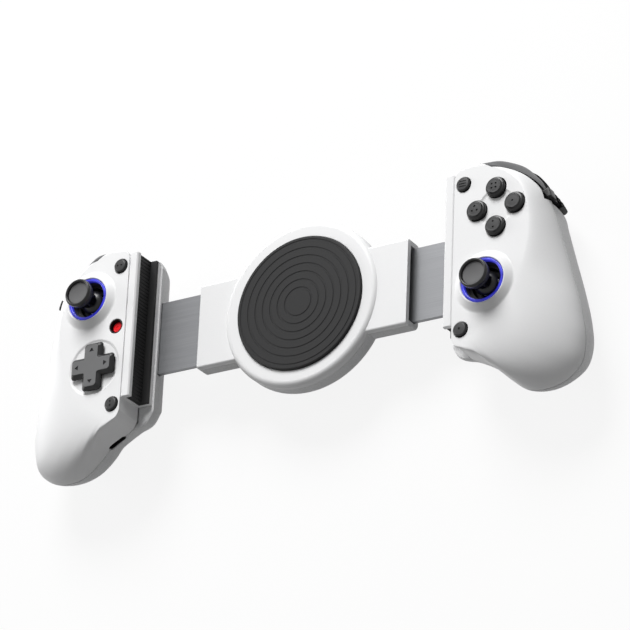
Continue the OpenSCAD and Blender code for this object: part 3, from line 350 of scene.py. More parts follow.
class Solid:
    """Points and faces of one closed surface, in millimetres."""

    def grid(self, points, caps=True):
        """Rows of points whose columns close on themselves; caps closes the first and last rows."""
        rows, cols = points.shape[:2]
        corner = np.arange(rows - 1)[:, None] * cols + np.arange(cols)[None, :]
        beside = np.arange(rows - 1)[:, None] * cols + (np.arange(cols)[None, :] + 1) % cols
        self.points = points.reshape(-1, 3)
        self.faces = np.stack([corner, beside, beside + cols, corner + cols], -1).reshape(-1, 4).tolist()
        if caps:
            self.faces += [list(range(cols))[::-1], list(range((rows - 1) * cols, rows * cols))]
        return self

    def lathe(self, profile, centre=(0, 0), turns=96, wave=None):
        """Outline of (radius, z) points turned about a vertical axis at centre.

        x = cx + r cos t, y = cy + r sin t, with r as wave(r, t, row) where wave is given. An outline that
        starts and ends off the axis closes on itself, as a ring does.
        """
        profile = np.asarray(profile, float)
        ring = profile[0, 0] > 0 and profile[-1, 0] > 0
        profile = np.concatenate([profile, profile[:1]]) if ring else profile
        t = np.linspace(0, 2 * np.pi, turns, endpoint=False)
        r = np.repeat(profile[:, :1], turns, 1)
        r = r if wave is None else wave(r, t[None, :], np.arange(len(profile))[:, None])
        z = np.repeat(profile[:, 1:], turns, 1)
        return self.grid(np.stack([centre[0] + r * np.cos(t), centre[1] + r * np.sin(t), z], -1), not ring)

    def prism(self, outline, low, high):
        """Flat outline of (x, y) points raised from low to high."""
        outline = np.asarray(outline, float)
        rows = [np.column_stack([outline, np.full(len(outline), z)]) for z in (low, high)]
        return self.grid(np.array(rows))

    def bar(self, outline, low, high, steps=1, wave=None):
        """Outline of (x, z) points drawn along y from low to high; wave(points) may shift them."""
        outline = np.asarray(outline, float)
        y = np.linspace(low, high, steps + 1)
        points = np.empty((len(y), len(outline), 3))
        points[..., 0] = outline[None, :, 0]
        points[..., 1] = y[:, None]
        points[..., 2] = outline[None, :, 1]
        return self.grid(points if wave is None else wave(points))

    def box(self, low, high):
        """Block between two opposite corners."""
        (x0, y0, z0), (x1, y1, z1) = low, high
        return self.prism([(x0, y0), (x1, y0), (x1, y1), (x0, y1)], z0, z1)

    def mesh(self, name, side=0):
        """Blender mesh in metres with welded points and outward faces; side places it on a grip."""
        points = (self.points + [GRIP_X, 0, 0]) * [side, 1, 1] if side else self.points
        made = bpy.data.meshes.new(name)
        made.from_pydata((points * MM).tolist(), [], self.faces)
        work = bmesh.new()
        work.from_mesh(made)
        bmesh.ops.remove_doubles(work, verts=work.verts, dist=1e-7)
        bmesh.ops.recalc_face_normals(work, faces=work.faces)
        work.to_mesh(made)
        work.free()
        return made


def applied(piece):
    """The piece with its modifiers worked into its mesh."""
    graph = bpy.context.evaluated_depsgraph_get()
    made = bpy.data.meshes.new_from_object(piece.evaluated_get(graph))
    old = piece.data
    piece.modifiers.clear()
    piece.data = made
    made.name = old.name
    bpy.data.meshes.remove(old)
    return piece


def combine(piece, solid, side=0, operation="DIFFERENCE"):
    """Cuts a solid out of a piece, or fuses it on, by an applied Boolean, then welds points that meet."""
    tool = bpy.data.objects.new("tool", solid.mesh("tool", side))
    bpy.context.collection.objects.link(tool)
    step = piece.modifiers.new("cut", "BOOLEAN")
    step.operation = operation
    step.solver = "EXACT"
    step.object = tool
    applied(piece)
    work = bmesh.new()
    work.from_mesh(piece.data)
    bmesh.ops.remove_doubles(work, verts=work.verts, dist=2e-6)
    bmesh.ops.dissolve_degenerate(work, edges=work.edges, dist=1e-6)
    work.to_mesh(piece.data)
    work.free()
    spent = tool.data
    bpy.data.objects.remove(tool)
    bpy.data.meshes.remove(spent)
    return piece


def soften(piece, width, angle):
    """Rounds the piece's edges sharper than angle by width millimetres."""
    step = piece.modifiers.new("round", "BEVEL")
    step.width = width * MM
    step.segments = 3
    step.limit_method = "ANGLE"
    step.angle_limit = np.radians(angle)
    return applied(piece)


def make(name, solid, finish, body, nodes=(), side=0):
    """New piece that rides on a body and stands for CAD nodes."""
    piece = bpy.data.objects.new(name, solid.mesh(name, side))
    bpy.context.collection.objects.link(piece)
    piece.data.materials.append(finish.material)
    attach(piece, body)
    if nodes:
        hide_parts(*nodes)
    return piece


def shade(piece, angle=35):
    """Smooth shading with edges sharper than angle kept crisp; broad faces keep their own normals."""
    mesh = piece.data
    mesh.polygons.foreach_set("use_smooth", np.ones(len(mesh.polygons), bool))
    mesh.set_sharp_from_angle(angle=np.radians(angle))
    step = piece.modifiers.new("even", "WEIGHTED_NORMAL")
    step.mode = "FACE_AREA"
    step.weight = 50
    step.keep_sharp = True
    return applied(piece)


def dress(finish, *nodes):
    """A CAD node that keeps its own shape gets a finish."""
    for name in nodes:
        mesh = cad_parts[name].data
        mesh.materials.clear()
        mesh.materials.append(finish.material)


def arc(centre, radius, start, end, steps=8):
    """Points of a circular arc, angles in degrees."""
    t = np.radians(np.linspace(start, end, steps + 1))
    return [(centre[0] + radius * np.cos(a), centre[1] + radius * np.sin(a)) for a in t]


# Curves round the grip

KNOTS = np.concatenate([[0], np.cumsum(np.sqrt(np.hypot(*np.diff(STATIONS[:, RIM], axis=0).T)))])
SPANS = np.diff(KNOTS)[:, None]
SLOPES = np.diff(STATIONS, axis=0) / SPANS
TANGENTS = np.concatenate([
    SLOPES[:1],
    (SLOPES[:-1] * SPANS[1:] + SLOPES[1:] * SPANS[:-1]) / (SPANS[1:] + SPANS[:-1]),
    SLOPES[-1:],
])


def station(u):
    """Values at place u along the stations: cubic Hermite pieces between them."""
    u = np.asarray(u, float)
    i = np.minimum(u.astype(int), LAST - 1)
    f = (u - i)[..., None]
    d = SPANS[i]
    return (
        STATIONS[i] * (1 + 2 * f) * (1 - f) ** 2 + TANGENTS[i] * d * f * (1 - f) ** 2
        + STATIONS[i + 1] * f * f * (3 - 2 * f) + TANGENTS[i + 1] * d * f * f * (f - 1)
    )


def rim_point(u, out):
    """Points (x, y) at distance out outside the rim curve, at places u."""
    u = np.asarray(u, float)
    along = station(np.minimum(u + 0.05, LAST)) - station(np.maximum(u - 0.05, 0))
    normal = np.stack([-along[..., 1], along[..., 0]], -1)
    normal /= np.linalg.norm(normal, axis=-1, keepdims=True)
    return station(u)[..., RIM] + np.asarray(out, float)[..., None] * normal


def inset_at(u, curve, corner):
    """Inward steps of WALL from a curve of the stations, at places u; corner eases both ends.

    They are worked out at half stations, with straight lines between.
    """
    ring = station(HALVES)[:, curve]
    along = np.roll(ring, -1, 0) - np.roll(ring, 1, 0)
    inward = WALL * np.stack([along[:, 1], -along[:, 0]], -1) / np.linalg.norm(along, axis=1, keepdims=True)
    if corner:
        inward[0] = (0.8, -WALL / 2)
        inward[-1] = (0.8, WALL / 2)
    return np.stack([np.interp(u, HALVES, inward[:, k]) for k in range(2)], -1)


def bow(angles, fullness):
    """Angles in radians, with the parts of the way in and up: 1 - cos^e a and sin^e a, e = 2 / fullness."""
    a = np.radians(np.asarray(angles, float))
    a = a[:, None] if a.ndim == 1 else a
    e = 2 / fullness
    return a, (1 - np.clip(np.cos(a), 0, 1) ** e)[..., None], np.clip(np.sin(a), 0, 1) ** e


def front_rows(u, angles, inset=0.0):
    """Front shell: xy = rim + (face - rim) in, z = rim + (face - rim) up, moved inward by inset walls."""
    v = station(u)[None]
    a, across, up = bow(angles, v[..., FRONT_FULL])
    xy = v[..., RIM] + (v[..., FACE_XY] - v[..., RIM]) * across + inset * inset_at(u, RIM, True)
    z = v[..., RIM_Z] + (FACE - v[..., RIM_Z]) * up - inset * WALL * np.sin(a)
    return np.concatenate([xy, z[..., None]], -1)


def rear_rows(u, angles, inset=0.0):
    """Rear shell: the same form from the rear rim down to the back."""
    v = station(u)[None]
    a, across, up = bow(angles, v[..., REAR_FULL])
    step = inset * np.cos(a)[..., None] * inset_at(u, REAR, False)
    xy = v[..., REAR] + (v[..., BACK_XY] - v[..., REAR]) * across + step
    top = v[..., RIM_Z] - SEAM
    z = top - (top - BACK) * up + inset * WALL * np.sin(a)
    return np.concatenate([xy, z[..., None]], -1)


def rise_angle(rise, height, fullness):
    """Angles, in degrees, at which a shell of the given rise stands height away from its rim."""
    return np.degrees(np.arcsin((height / rise) ** (fullness / 2)))


def front_at(u, a, out):
    """Front shell's outside at places u and angles a in radians, moved out along the rim's normal."""
    v = station(u)
    e = 2 / v[..., FRONT_FULL]
    s = (1 - np.cos(a) ** e)[..., None]
    normal = rim_point(u, np.ones_like(u)) - v[..., RIM]
    xy = v[..., RIM] + (v[..., FACE_XY] - v[..., RIM]) * s + out[..., None] * normal
    z = v[..., RIM_Z] + (FACE - v[..., RIM_Z]) * np.sin(a) ** e
    return np.concatenate([xy, z[..., None]], -1)


def front_angle(u, inward):
    """Angle of the front shell's outside at a distance inside its rim, in radians."""
    v = station(u)
    reach = np.linalg.norm(v[..., FACE_XY] - v[..., RIM], axis=-1)
    return np.arccos(np.maximum(0, 1 - inward / reach) ** (v[..., FRONT_FULL] / 2))


def rear_at(u, z, out):
    """Rear shell's outside at places u and heights z, moved out along the rim's normal."""
    v = station(u)
    q = v[..., REAR_FULL]
    h = (v[..., RIM_Z] - SEAM - z) / (v[..., RIM_Z] - SEAM - BACK)
    s = (1 - (1 - h ** q) ** (1 / q))[..., None]
    normal = rim_point(u, np.ones_like(u)) - v[..., RIM]
    xy = v[..., REAR] + (v[..., BACK_XY] - v[..., REAR]) * s + out[..., None] * normal
    return np.concatenate([xy, z[..., None]], -1)


def shoulder_edge(u):
    """Front shell's edge over the shoulder: widest near the inner end, back at the rim past the end block."""
    return -np.maximum(0.1, np.minimum(
        np.minimum(1.2 + 3.9 * (u - BUMPER_FROM), 1.2 + 1.04 * (BUMPER_TO - u)), 1.2 - 4 * (u - BUMPER_TO)
    ))


def smooth(t):
    """0 up to t = 0, 1 from t = 1, t^2 (3 - 2t) between."""
    t = np.clip(t, 0, 1)
    return t * t * (3 - 2 * t)


def bumper_low(u):
    """Height of the bumper's lower edge, which rises from -5.7 at the inner end to 2 at the outer one."""
    return -5.7 + 7.7 * smooth((u - BUMPER_FROM - 0.4) / (BUMPER_TO - BUMPER_FROM - 0.4))


def rim_band(start, end, low, high, steps=40):
    """Outline beside the rim between two places and two offsets; low None follows the shoulder edge."""
    u = np.linspace(start, end, steps)
    inner = rim_point(u, shoulder_edge(u) if low is None else np.full(steps, low))
    return np.concatenate([inner, rim_point(u, np.full(steps, high))[::-1]])


# Grid of the shells: places round the grip, and angles outside, finer near the top, and inside
U_FINE = np.linspace(0, LAST, 12 * LAST + 1)
OUTER = 90 - 86 * (1 - np.linspace(0, 1, 38)) ** 1.8
INNER = np.linspace(90, 0, 8)


def port_hole(width=8.9, height=2.9, reach=4):
    """Charging port's hole: a bar with round ends, drawn along the rim's normal to both sides of the rim."""
    r = height / 2
    shape = np.array(arc((width / 2 - r, 0), r, -90, 90, 12) + arc((r - width / 2, 0), r, 90, 270, 12))
    mouth = rim_point(PORT_AT, 0.0)
    out = mouth - rim_point(PORT_AT, -1.0)
    across = np.array([-out[1], out[0]])
    rows = [np.column_stack([
        mouth + out * depth + across * shape[:, :1], station(PORT_AT)[RIM_Z] + shape[:, 1]
    ]) for depth in (-reach, reach)]
    return Solid().grid(np.array(rows))


# Shells

def hole(radius, centre, easing=0.3):
    """Round hole through the face with an eased upper edge; it narrows below, clear of the side walls."""
    bend = arc((radius + easing, FACE - easing), easing, 180, 90, 6)
    return Solid().lathe([
        (0.0, FACE_IN - 0.4), (radius - 0.4, FACE_IN - 0.4), (radius, FACE_IN + 0.1),
        *bend, (radius + easing, FACE + 30), (0.0, FACE + 30),
    ], centre, 72)


def around(radius, angle):
    """Point (x, y) at a radius and an angle in degrees."""
    t = np.radians(angle)
    return radius * np.array([np.cos(t), np.sin(t)])


def cross_outline(half, arm, outer, inner, steps=6):
    """Cross of two bars: half length, half width, corner radius at the ends and in the crook.

    The ends draw in: a point's longer coordinate a falls by 0.045 b^2 (a / half)^2, where b is the shorter.
    """
    quarter = np.array([
        *arc((half - outer, arm - outer), outer, 0, 90, steps),
        *arc((arm + inner, arm + inner), inner, 270, 180, steps),
        *arc((arm - outer, half - outer), outer, 0, 90, steps),
    ])
    turn = np.array([[0, -1], [1, 0]])
    points = np.concatenate([quarter @ np.linalg.matrix_power(turn, k).T for k in range(4)])
    size = np.abs(points)
    draw = 0.045 * size.min(1, keepdims=True) ** 2 * (size / half) ** 2
    return points - np.where(size == size.max(1, keepdims=True), draw, 0) * np.sign(points)


def front_shell(name, side):
    """Face and sides of a grip, with a fine groove along the rim, the stick's collar and all the holes."""
    rim = front_rows(U_FINE, [0.0])
    lip = rim + np.column_stack([inset_at(U_FINE, RIM, True) * GROOVE_IN, np.zeros(len(U_FINE))])
    v = station(U_FINE)
    start = rise_angle(FACE - v[:, RIM_Z], GROOVE_UP, v[:, FRONT_FULL])[None]
    rows = np.concatenate([
        front_rows(U_FINE, INNER, 1.0), lip, front_rows(U_FINE, start), front_rows(U_FINE, OUTER)
    ])
    piece = make(f"{name}_front_shell_moulding", Solid().grid(rows), WHITE,
                 f"{name}_grip", [f"{name}_front_shell"], side)
    foot = [(13.3 - 1.4 * k, FACE - 0.02 + 0.64 * k * k) for k in np.linspace(0, 1, 9)]
    collar = [(9.3, FACE - 1.9), (13.3, FACE - 1.9), *foot, *arc((9.75, FACE + 1.72), 0.45, 40, 180, 8)]
    well = [(0, 0), (9.3, 0), (9.3, 40), (0, 40)]
    combine(piece, Solid().lathe(collar, STICK[side], 128), side, "UNION")
    combine(piece, Solid().lathe(well, STICK[side], 128), side)
    for at in (TOP_BUTTON, BOTTOM_BUTTON):
        combine(piece, hole(SMALL_HOLE, at), side)
    shoulder = rim_band(BUMPER_FROM + 0.04, SHOULDER_END, None, 12.0)
    deeper = rim_band(BUMPER_FROM + 0.08, SHOULDER_END - 0.04, -6.6, 11.0)
    combine(piece, Solid().prism(shoulder, -20, 40), side)
    combine(piece, Solid().prism(deeper, -19, 5.3), side)
    if side < 0:
        combine(piece, hole(SMALL_HOLE, MODE_BUTTON), side)
        slope = [
            (11.9 + 0.8 * k, FACE - 0.24 - 0.26 * np.cos(np.pi * (k + 1) / 2)) for k in np.linspace(-1, 1, 13)
        ]
        dish = [(0, DISH_FLOOR), *slope, (12.7, FACE + 9), (0, FACE + 9)]
        combine(piece, Solid().lathe(dish, LOWER, 128), side)
        combine(piece, Solid().prism(cross_outline(10.35, 3.9, 1.2, 0.5) + LOWER, 3, 20), side)
        combine(piece, port_hole(), side)
    else:
        dish = [(0, DISH_FLOOR), (6.6, DISH_FLOOR), (7.4, FACE - 0.4), (7.9, FACE - 0.12),
                (8.15, FACE + 0.02), (8.15, FACE + 9), (0, FACE + 9)]
        combine(piece, Solid().lathe(dish, UPPER, 96), side)
        for angle in range(0, 360, 90):
            combine(piece, hole(4.4, UPPER + around(KEY_RING, angle)), side)
    return shade(piece, 30)


def rear_shell(name, side):
    """Back of a grip, with a fine groove along the rim, a shelf under the jaw and screw wells."""
    rim = rear_rows(U_FINE, [0.0])
    lip = rim + np.column_stack([inset_at(U_FINE, REAR, False) * GROOVE_IN, np.zeros(len(U_FINE))])
    v = station(U_FINE)
    start = rise_angle(v[:, RIM_Z] - SEAM - BACK, GROOVE_UP, v[:, REAR_FULL])[None]
    rows = np.concatenate([
        rear_rows(U_FINE, INNER, 1.0), lip, rear_rows(U_FINE, start), rear_rows(U_FINE, OUTER)
    ])
    piece = make(f"{name}_rear_shell_moulding", Solid().grid(rows), GRAINED,
                 f"{name}_grip", [f"{name}_rear_shell"], side)
    shelf = rear_rows(HALVES, [12.0], 0.5)[0][station(HALVES)[:, REAR.start] < 2.4][:, :2]
    combine(piece, Solid().prism(shelf, -4.5, -3.3), side, "UNION")
    low = -6.9 if side < 0 else -9.2
    combine(piece, Solid().box((-20, -16.3, low - 0.3), (-3, 16.3, low + 2.3)), side)
    shoulder = rim_band(BUMPER_FROM - 0.06, TRIGGER_TO + 0.1, -5.8, 12.0)
    combine(piece, Solid().prism(shoulder, -18.4, 40), side)
    well = [(0, -30), (2, -30), (2, -12), (0, -12)]
    for at in ((5, 22.5), (43.6, -37.8), (21, -41)):
        combine(piece, Solid().lathe(well, at, 48), side)
    if side < 0:
        combine(piece, port_hole(), side)
    return shade(piece, 30)


def jaw(name, side):
    """White channel along the inner wall that takes one end of the handset."""
    outline = [(-6.4, -3.05), (-0.05, -3.05), (-0.05, 9.8), (-0.35, 10.3), (-0.7, FACE), (-3.6, FACE),
               (-4.2, 10.0), (-4.2, 8.2), (-1.35, 8.2), (-1.35, -1.4), (-6.4, -1.4)]
    piece = make(f"{name}_jaw_strip", Solid().bar(outline, -30.6, 34.0), WHITE, f"{name}_grip",
                 [f"{name}_jaw"], side)
    return shade(soften(piece, 0.18, 30), 50)


def liner(name, side):
    """Rubber channel in the jaw; its wall has ribs 1.6 apart: x shifts by 0.25 sin^8(pi y / 1.6)."""
    outline = np.array([(-6.4, -1.35), (-1.4, -1.35), (-1.4, 8.15), (-3.5, 8.15), (-3.5, 0.0), (-6.4, 0.0)])

    def ribs(points):
        wall = (outline[:, 0] == -3.5)[None, :]
        points[..., 0] += wall * 0.25 * (np.sin(points[..., 1] * np.pi / 1.6) ** 8)
        return points

    piece = make(f"{name}_jaw_grip_liner", Solid().bar(outline, -30.4, 33.8, 400, ribs), RUBBER,
                 f"{name}_grip", [f"{name}_jaw_liner"], side)
    return shade(piece, 40)


# Controls

def stick_axis(side):
    """A stick's place (x, y) in the row frame."""
    x, y = STICK[side]
    return side * (GRIP_X + x), y


def light_ring(name, side):
    """Light guide between the stick and its collar, with a rounded upper lip."""
    finish = glowing(f"{name}_ring_glow", stick_axis(side), (0.018, 0.020, 0.36), (0.032, 0.036, 0.54))
    profile = [(8.0, 8.3), (9.1, 8.3), *arc((8.8, 12.3), 0.3, 0, 90, 5),
               *arc((8.35, 12.25), 0.35, 90, 180, 5), (8.0, 11.3), (8.0, 10.0)]
    piece = make(f"{name}_ring_light_guide", Solid().lathe(profile, STICK[side], 128), finish,
                 f"{name}_grip", [f"{name}_light_ring"], side)
    return shade(piece, 40)


def stick_cap(name, side):
    """Thumb cap: dome skirt, waisted neck with six gussets, milled lower disc, round rim and shallow dish.

    Gussets: r grows by a part of 1.5 (0.5 + 0.5 cos 6t)^4 in the neck's rows. Milling: r falls by
    0.14 (0.5 - 0.5 cos 48t)^2 in the lower disc's rows.
    """
    top = FACE + 9.6
    dome = [(7 * np.sin(a), PIVOT + 7 * np.cos(a)) for a in np.radians(np.linspace(48, 27, 10))]
    inside = [(6.3 * np.sin(a), PIVOT + 6.3 * np.cos(a)) for a in np.radians(np.linspace(14.7, 48, 10))]
    neck = [(3.0, top - 7.6), (3.0, top - 7.0), (3.0, top - 6.4), (3.05, top - 5.8), (3.1, top - 5.3),
            (3.5, top - 4.9), (4.45, top - 4.35)]
    lower = [(5.2, top - 4.0), (5.55, top - 3.9), (5.72, top - 3.6), (5.72, top - 2.9), (5.5, top - 2.7)]
    upper = [(5.2, top - 2.5), (5.75, top - 2.42), (5.98, top - 2.2), (6.07, top - 1.8)]
    rim = arc((5.45, top - 0.62), 0.62, 0, 165, 14)
    dish = [(4.84, top - 0.8), (4.74, top - 0.96), (4.5, top - 1.0)]
    bowl = [(r, top - 1.45 + 0.45 * (r / 4.3) ** 2) for r in (4.3, 3.2, 2.4, 1.6, 0.8, 0.0)]
    profile = [(0.0, 16.2), (1.6, 16.2), *inside, *dome, *neck, *lower, *upper, *rim, *dish, *bowl]
    first = 2 + len(inside) + len(dome)
    order = np.arange(len(profile))[:, None] - first
    swell = np.interp(order, [-1, 0, 1, 3, 5, 6], [0, 0.9, 1, 0.7, 0.25, 0])
    edge = first + len(neck)

    def worked(r, t, row):
        gusset = 1.5 * swell * (0.5 + 0.5 * np.cos(6 * t)) ** 4
        return r + gusset - 0.14 * (0.5 - 0.5 * np.cos(48 * t)) ** 2 * ((row > edge) & (row < edge + 4))

    finish = thumb_rubber(f"{name}_thumb_rubber", stick_axis(side))
    piece = make(f"{name}_stick_thumb_cap", Solid().lathe(profile, STICK[side], 288, worked), finish,
                 f"{name}_cap", [f"{name}_stick_cap"], side)
    return shade(piece, 40)


def pips(count, pitch):
    """Centres of 1 to 4 dots, as on a die."""
    if count == 1:
        return np.zeros((1, 2))
    t = np.radians(90 + 360 * np.arange(count) / count + (45 if count == 4 else 0))
    return pitch * np.stack([np.cos(t), np.sin(t)], 1)


def action_button(name, angle, count):
    """Key with a flange below the face, a rounded shoulder and a raised top; sunk dots tell it apart."""
    top = KEY_TOP
    centre = UPPER + around(KEY_RING, angle)
    crown = [(r, top + 0.1 - 0.1 * (r / 2.7) ** 2) for r in (2.7, 2.0, 1.0, 0.0)]
    profile = [(0, 4.4), (2.2, 4.4), (2.2, 7.6), (4.9, 7.6), (4.9, 8.5), (4.1, 8.5), (4.1, top - 1.25),
               *arc((3.55, top - 1.25), 0.55, 10, 80, 6), (3.3, top - 0.62), (3.12, top - 0.35),
               *arc((2.72, top - 0.3), 0.32, 15, 80, 5), *crown]
    piece = make(f"{name}_key", Solid().lathe(profile, centre, 96), KEY, name, [name], 1)
    dot = [(0, top - 0.22), (0.42, top - 0.22), (0.55, top + 1), (0, top + 1)]
    for at in pips(count, 1.25) + centre:
        combine(piece, Solid().lathe(dot, at, 32), 1)
    return shade(piece)


def small_button(name, side, centre, proud, finish, marks, radius=2.95):
    """Domed key on a cross bar that keeps it in its hole, with sunk marks."""
    top = FACE + proud
    foot = 3.12
    flat = radius - 0.75
    crown = [(flat * k, top + 0.1 - 0.12 * k * k) for k in (1.0, 0.7, 0.35, 0.0)]
    bend = arc((radius - 0.8, top - 0.75), 0.8, 12, 80, 8)
    profile = [(0, foot), (radius, foot), (radius, top - 0.75), *bend, *crown]
    piece = make(f"{name}_key", Solid().lathe(profile, centre, 72), finish, name, [name], side)
    x, y = centre
    z = min(8.5, top - 0.9)
    combine(piece, Solid().box((x - 1.2, y - 3.6, z - 0.9), (x + 1.2, y + 3.6, z)), side, "UNION")
    for mark in marks:
        combine(piece, Solid().prism(np.asarray(mark) + centre, top - 0.16, top + 2), side)
    return shade(piece)


def mode_bezel():
    """Black sleeve that lines the mode button's hole, with a rounded upper lip."""
    profile = [(2.78, 8.3), (3.2, 8.3), (3.2, FACE - 0.2), *arc((2.99, FACE - 0.2), 0.21, 0, 180, 8)]
    piece = make("left_mode_button_bezel", Solid().lathe(profile, MODE_BUTTON, 72), BLACK,
                 "left_grip", [], -1)
    return shade(piece, 40)


def ring_mark(radius, at=(0, 0)):
    """Outline of a round mark."""
    return np.array(arc(at, radius, 0, 360, 28)[:-1])


def direction_pad():
    """Cross on a round flange, with a skirt that flares out over the hole, a rounded edge and sunk arrows.

    Each level is a height and the distance d by which the outline there lies inside a cross of 9.75 by 3.3.
    """
    low = FACE + 0.55
    skirt = [(6.9, 0.0), (low, 0.0), (low, -1.05), (low + 0.06, -1.2), (low + 0.2, -1.28), (low + 0.5, -1.2),
             (low + 0.9, -0.85), (low + 1.25, -0.45), (low + 1.55, -0.02)]
    edge = [(PAD_TOP - 0.28, 0.16), (PAD_TOP - 0.16, 0.24), (PAD_TOP - 0.06, 0.38), (PAD_TOP, 0.6)]
    rows = []
    for z, d in skirt + edge:
        outline = cross_outline(9.75 - d, 3.3 - d, 1.1, 0.85 + 0.55 * d) + LOWER
        rows.append(np.column_stack([outline, np.full(len(outline), z)]))
    piece = make("direction_pad_cross", Solid().grid(np.array(rows)), DARK, "pad",
                 ["direction_pad"], -1)
    flange = [(0, 5.5), (4.2, 5.5), (4.2, 6.5), (10.6, 6.5), (10.6, 7.5), (0, 7.5)]
    socket = [(0, 2), (2.6, 2), (2.6, 6.4), (1.6, 7.9), (0, 7.9)]
    combine(piece, Solid().lathe(flange, LOWER, 64), -1, "UNION")
    combine(piece, Solid().lathe(socket, LOWER, 48), -1)
    for angle in range(0, 360, 90):
        ahead, aside = around(1, angle), around(1, angle + 90)
        arrow = np.array([8.0 * ahead, 6.3 * ahead + 1.15 * aside, 6.3 * ahead - 1.15 * aside]) + LOWER
        combine(piece, Solid().prism(arrow, PAD_TOP - 0.28, PAD_TOP + 2), -1)
    return shade(piece)


# Shoulder

def closed_ends(rows, amount=0.9):
    """Rows of a swept bar whose ends shrink towards their middle over two rows, as rounded ends."""
    def shrunk(row, part):
        return row.mean(0) + (row - row.mean(0)) * part

    first, last = rows[0], rows[-1]
    start = first + (rows[1] - first) * 0.25
    end = last + (rows[-2] - last) * 0.25
    return np.concatenate([
        shrunk(first, amount)[None], shrunk(start, 0.5 + amount / 2)[None], rows[1:-1],
        shrunk(end, 0.5 + amount / 2)[None], shrunk(last, amount)[None],
    ])


def bumper(name, side):
    """Bar swept along the shoulder, flush with the shell above, whose lower edge rises towards its free end.

    Top: front_at(u, a, bulge sin(90 f)), with a from the shell's edge down to the side as f goes from 0 to 1;
    then a full side that turns in at the lower edge z = bumper_low(u).
    """
    u = np.linspace(BUMPER_FROM + 0.1, BLOCK_FROM - 0.05, 120)
    rim = station(u)[:, RIM_Z]
    gap = 0.2 + 0.5 * (u - BUMPER_FROM) / (BUMPER_TO - BUMPER_FROM)
    edge = np.minimum(-0.1, shoulder_edge(u) + gap)
    low = bumper_low(u)
    belly = smooth((u - BUMPER_FROM) / 0.9) * (1 - smooth((u - 3.8) / 1.3))
    bulge = -1.5 + 1.6 * smooth(u - BUMPER_FROM) + 1.5 * belly
    start = front_angle(u, -edge)
    rise = np.clip((low + 0.7 - rim) / (FACE - rim), 0, 0.9)
    end = np.minimum(np.arcsin(rise ** (station(u)[:, FRONT_FULL] / 2)), 0.8 * start)
    f = np.array([0, 0.04, 0.1, 0.18, 0.28, 0.38, 0.48, 0.58, 0.68, 0.78, 0.88, 0.95, 1.0])[:, None]
    places = np.broadcast_to(u, (len(f), len(u)))
    over = front_at(places, start + (end - start) * f, bulge * np.sin(np.pi / 2 * f))
    over[..., 2] -= np.where(f < 0.02, 0.35, np.where(f < 0.06, 0.16, 0.1))
    last = over[-1]
    zero = np.zeros_like(u)
    base = rim_point(u, zero)
    reach = ((last[:, :2] - base) * (rim_point(u, zero + 1) - base)).sum(1)
    height = last[:, 2] - low
    turned = [(0.06, 0.7), (0.05, 0.4), (-0.05, 0.2), (-0.25, 0.06), (-0.6, 0.0)]
    under = [np.column_stack([rim_point(u, reach + r), low + h * height]) for r, h in turned]
    under += [np.column_stack([rim_point(u, zero - 3.6), z]) for z in (low, np.maximum(low + 0.3, 2.4))]
    under.append(np.column_stack([rim_point(u, edge - 0.15), zero + 3.0]))
    rows = np.concatenate([over, np.array(under)]).transpose(1, 0, 2)
    piece = make(f"{name}_bumper_bar", Solid().grid(closed_ends(rows)), GREY,
                 f"{name}_bumper", [f"{name}_bumper"], side)
    return shade(piece)


def end_block(name, side):
    """Black block that closes the shoulder after the bumper: flat top and full side, 1.6 proud of the rim."""
    u = np.linspace(BLOCK_FROM, BLOCK_TO, 14)
    top = station(u)[:, RIM_Z] + 3.6
    low = np.full_like(u, -0.4)
    proud = np.full_like(u, 1.6)
    inside = np.full_like(u, -2.6)
    edge = shoulder_edge(u) + 0.12
    section = [
        (edge, top), (edge * 0.3 + proud * 0.7 - 0.4, top), (proud - 0.25, top - 0.2), (proud, top - 0.6),
        (proud, low + 0.6), (proud - 0.25, low + 0.2), (proud - 0.9, low), (inside, low), (inside, top - 2.0),
    ]
    rows = np.array([np.column_stack([rim_point(u, r), z]) for r, z in section]).transpose(1, 0, 2)
    piece = make(f"{name}_shoulder_end_block", Solid().grid(closed_ends(rows, 0.92)), BLACK,
                 f"{name}_grip", [], side)
    return shade(piece)


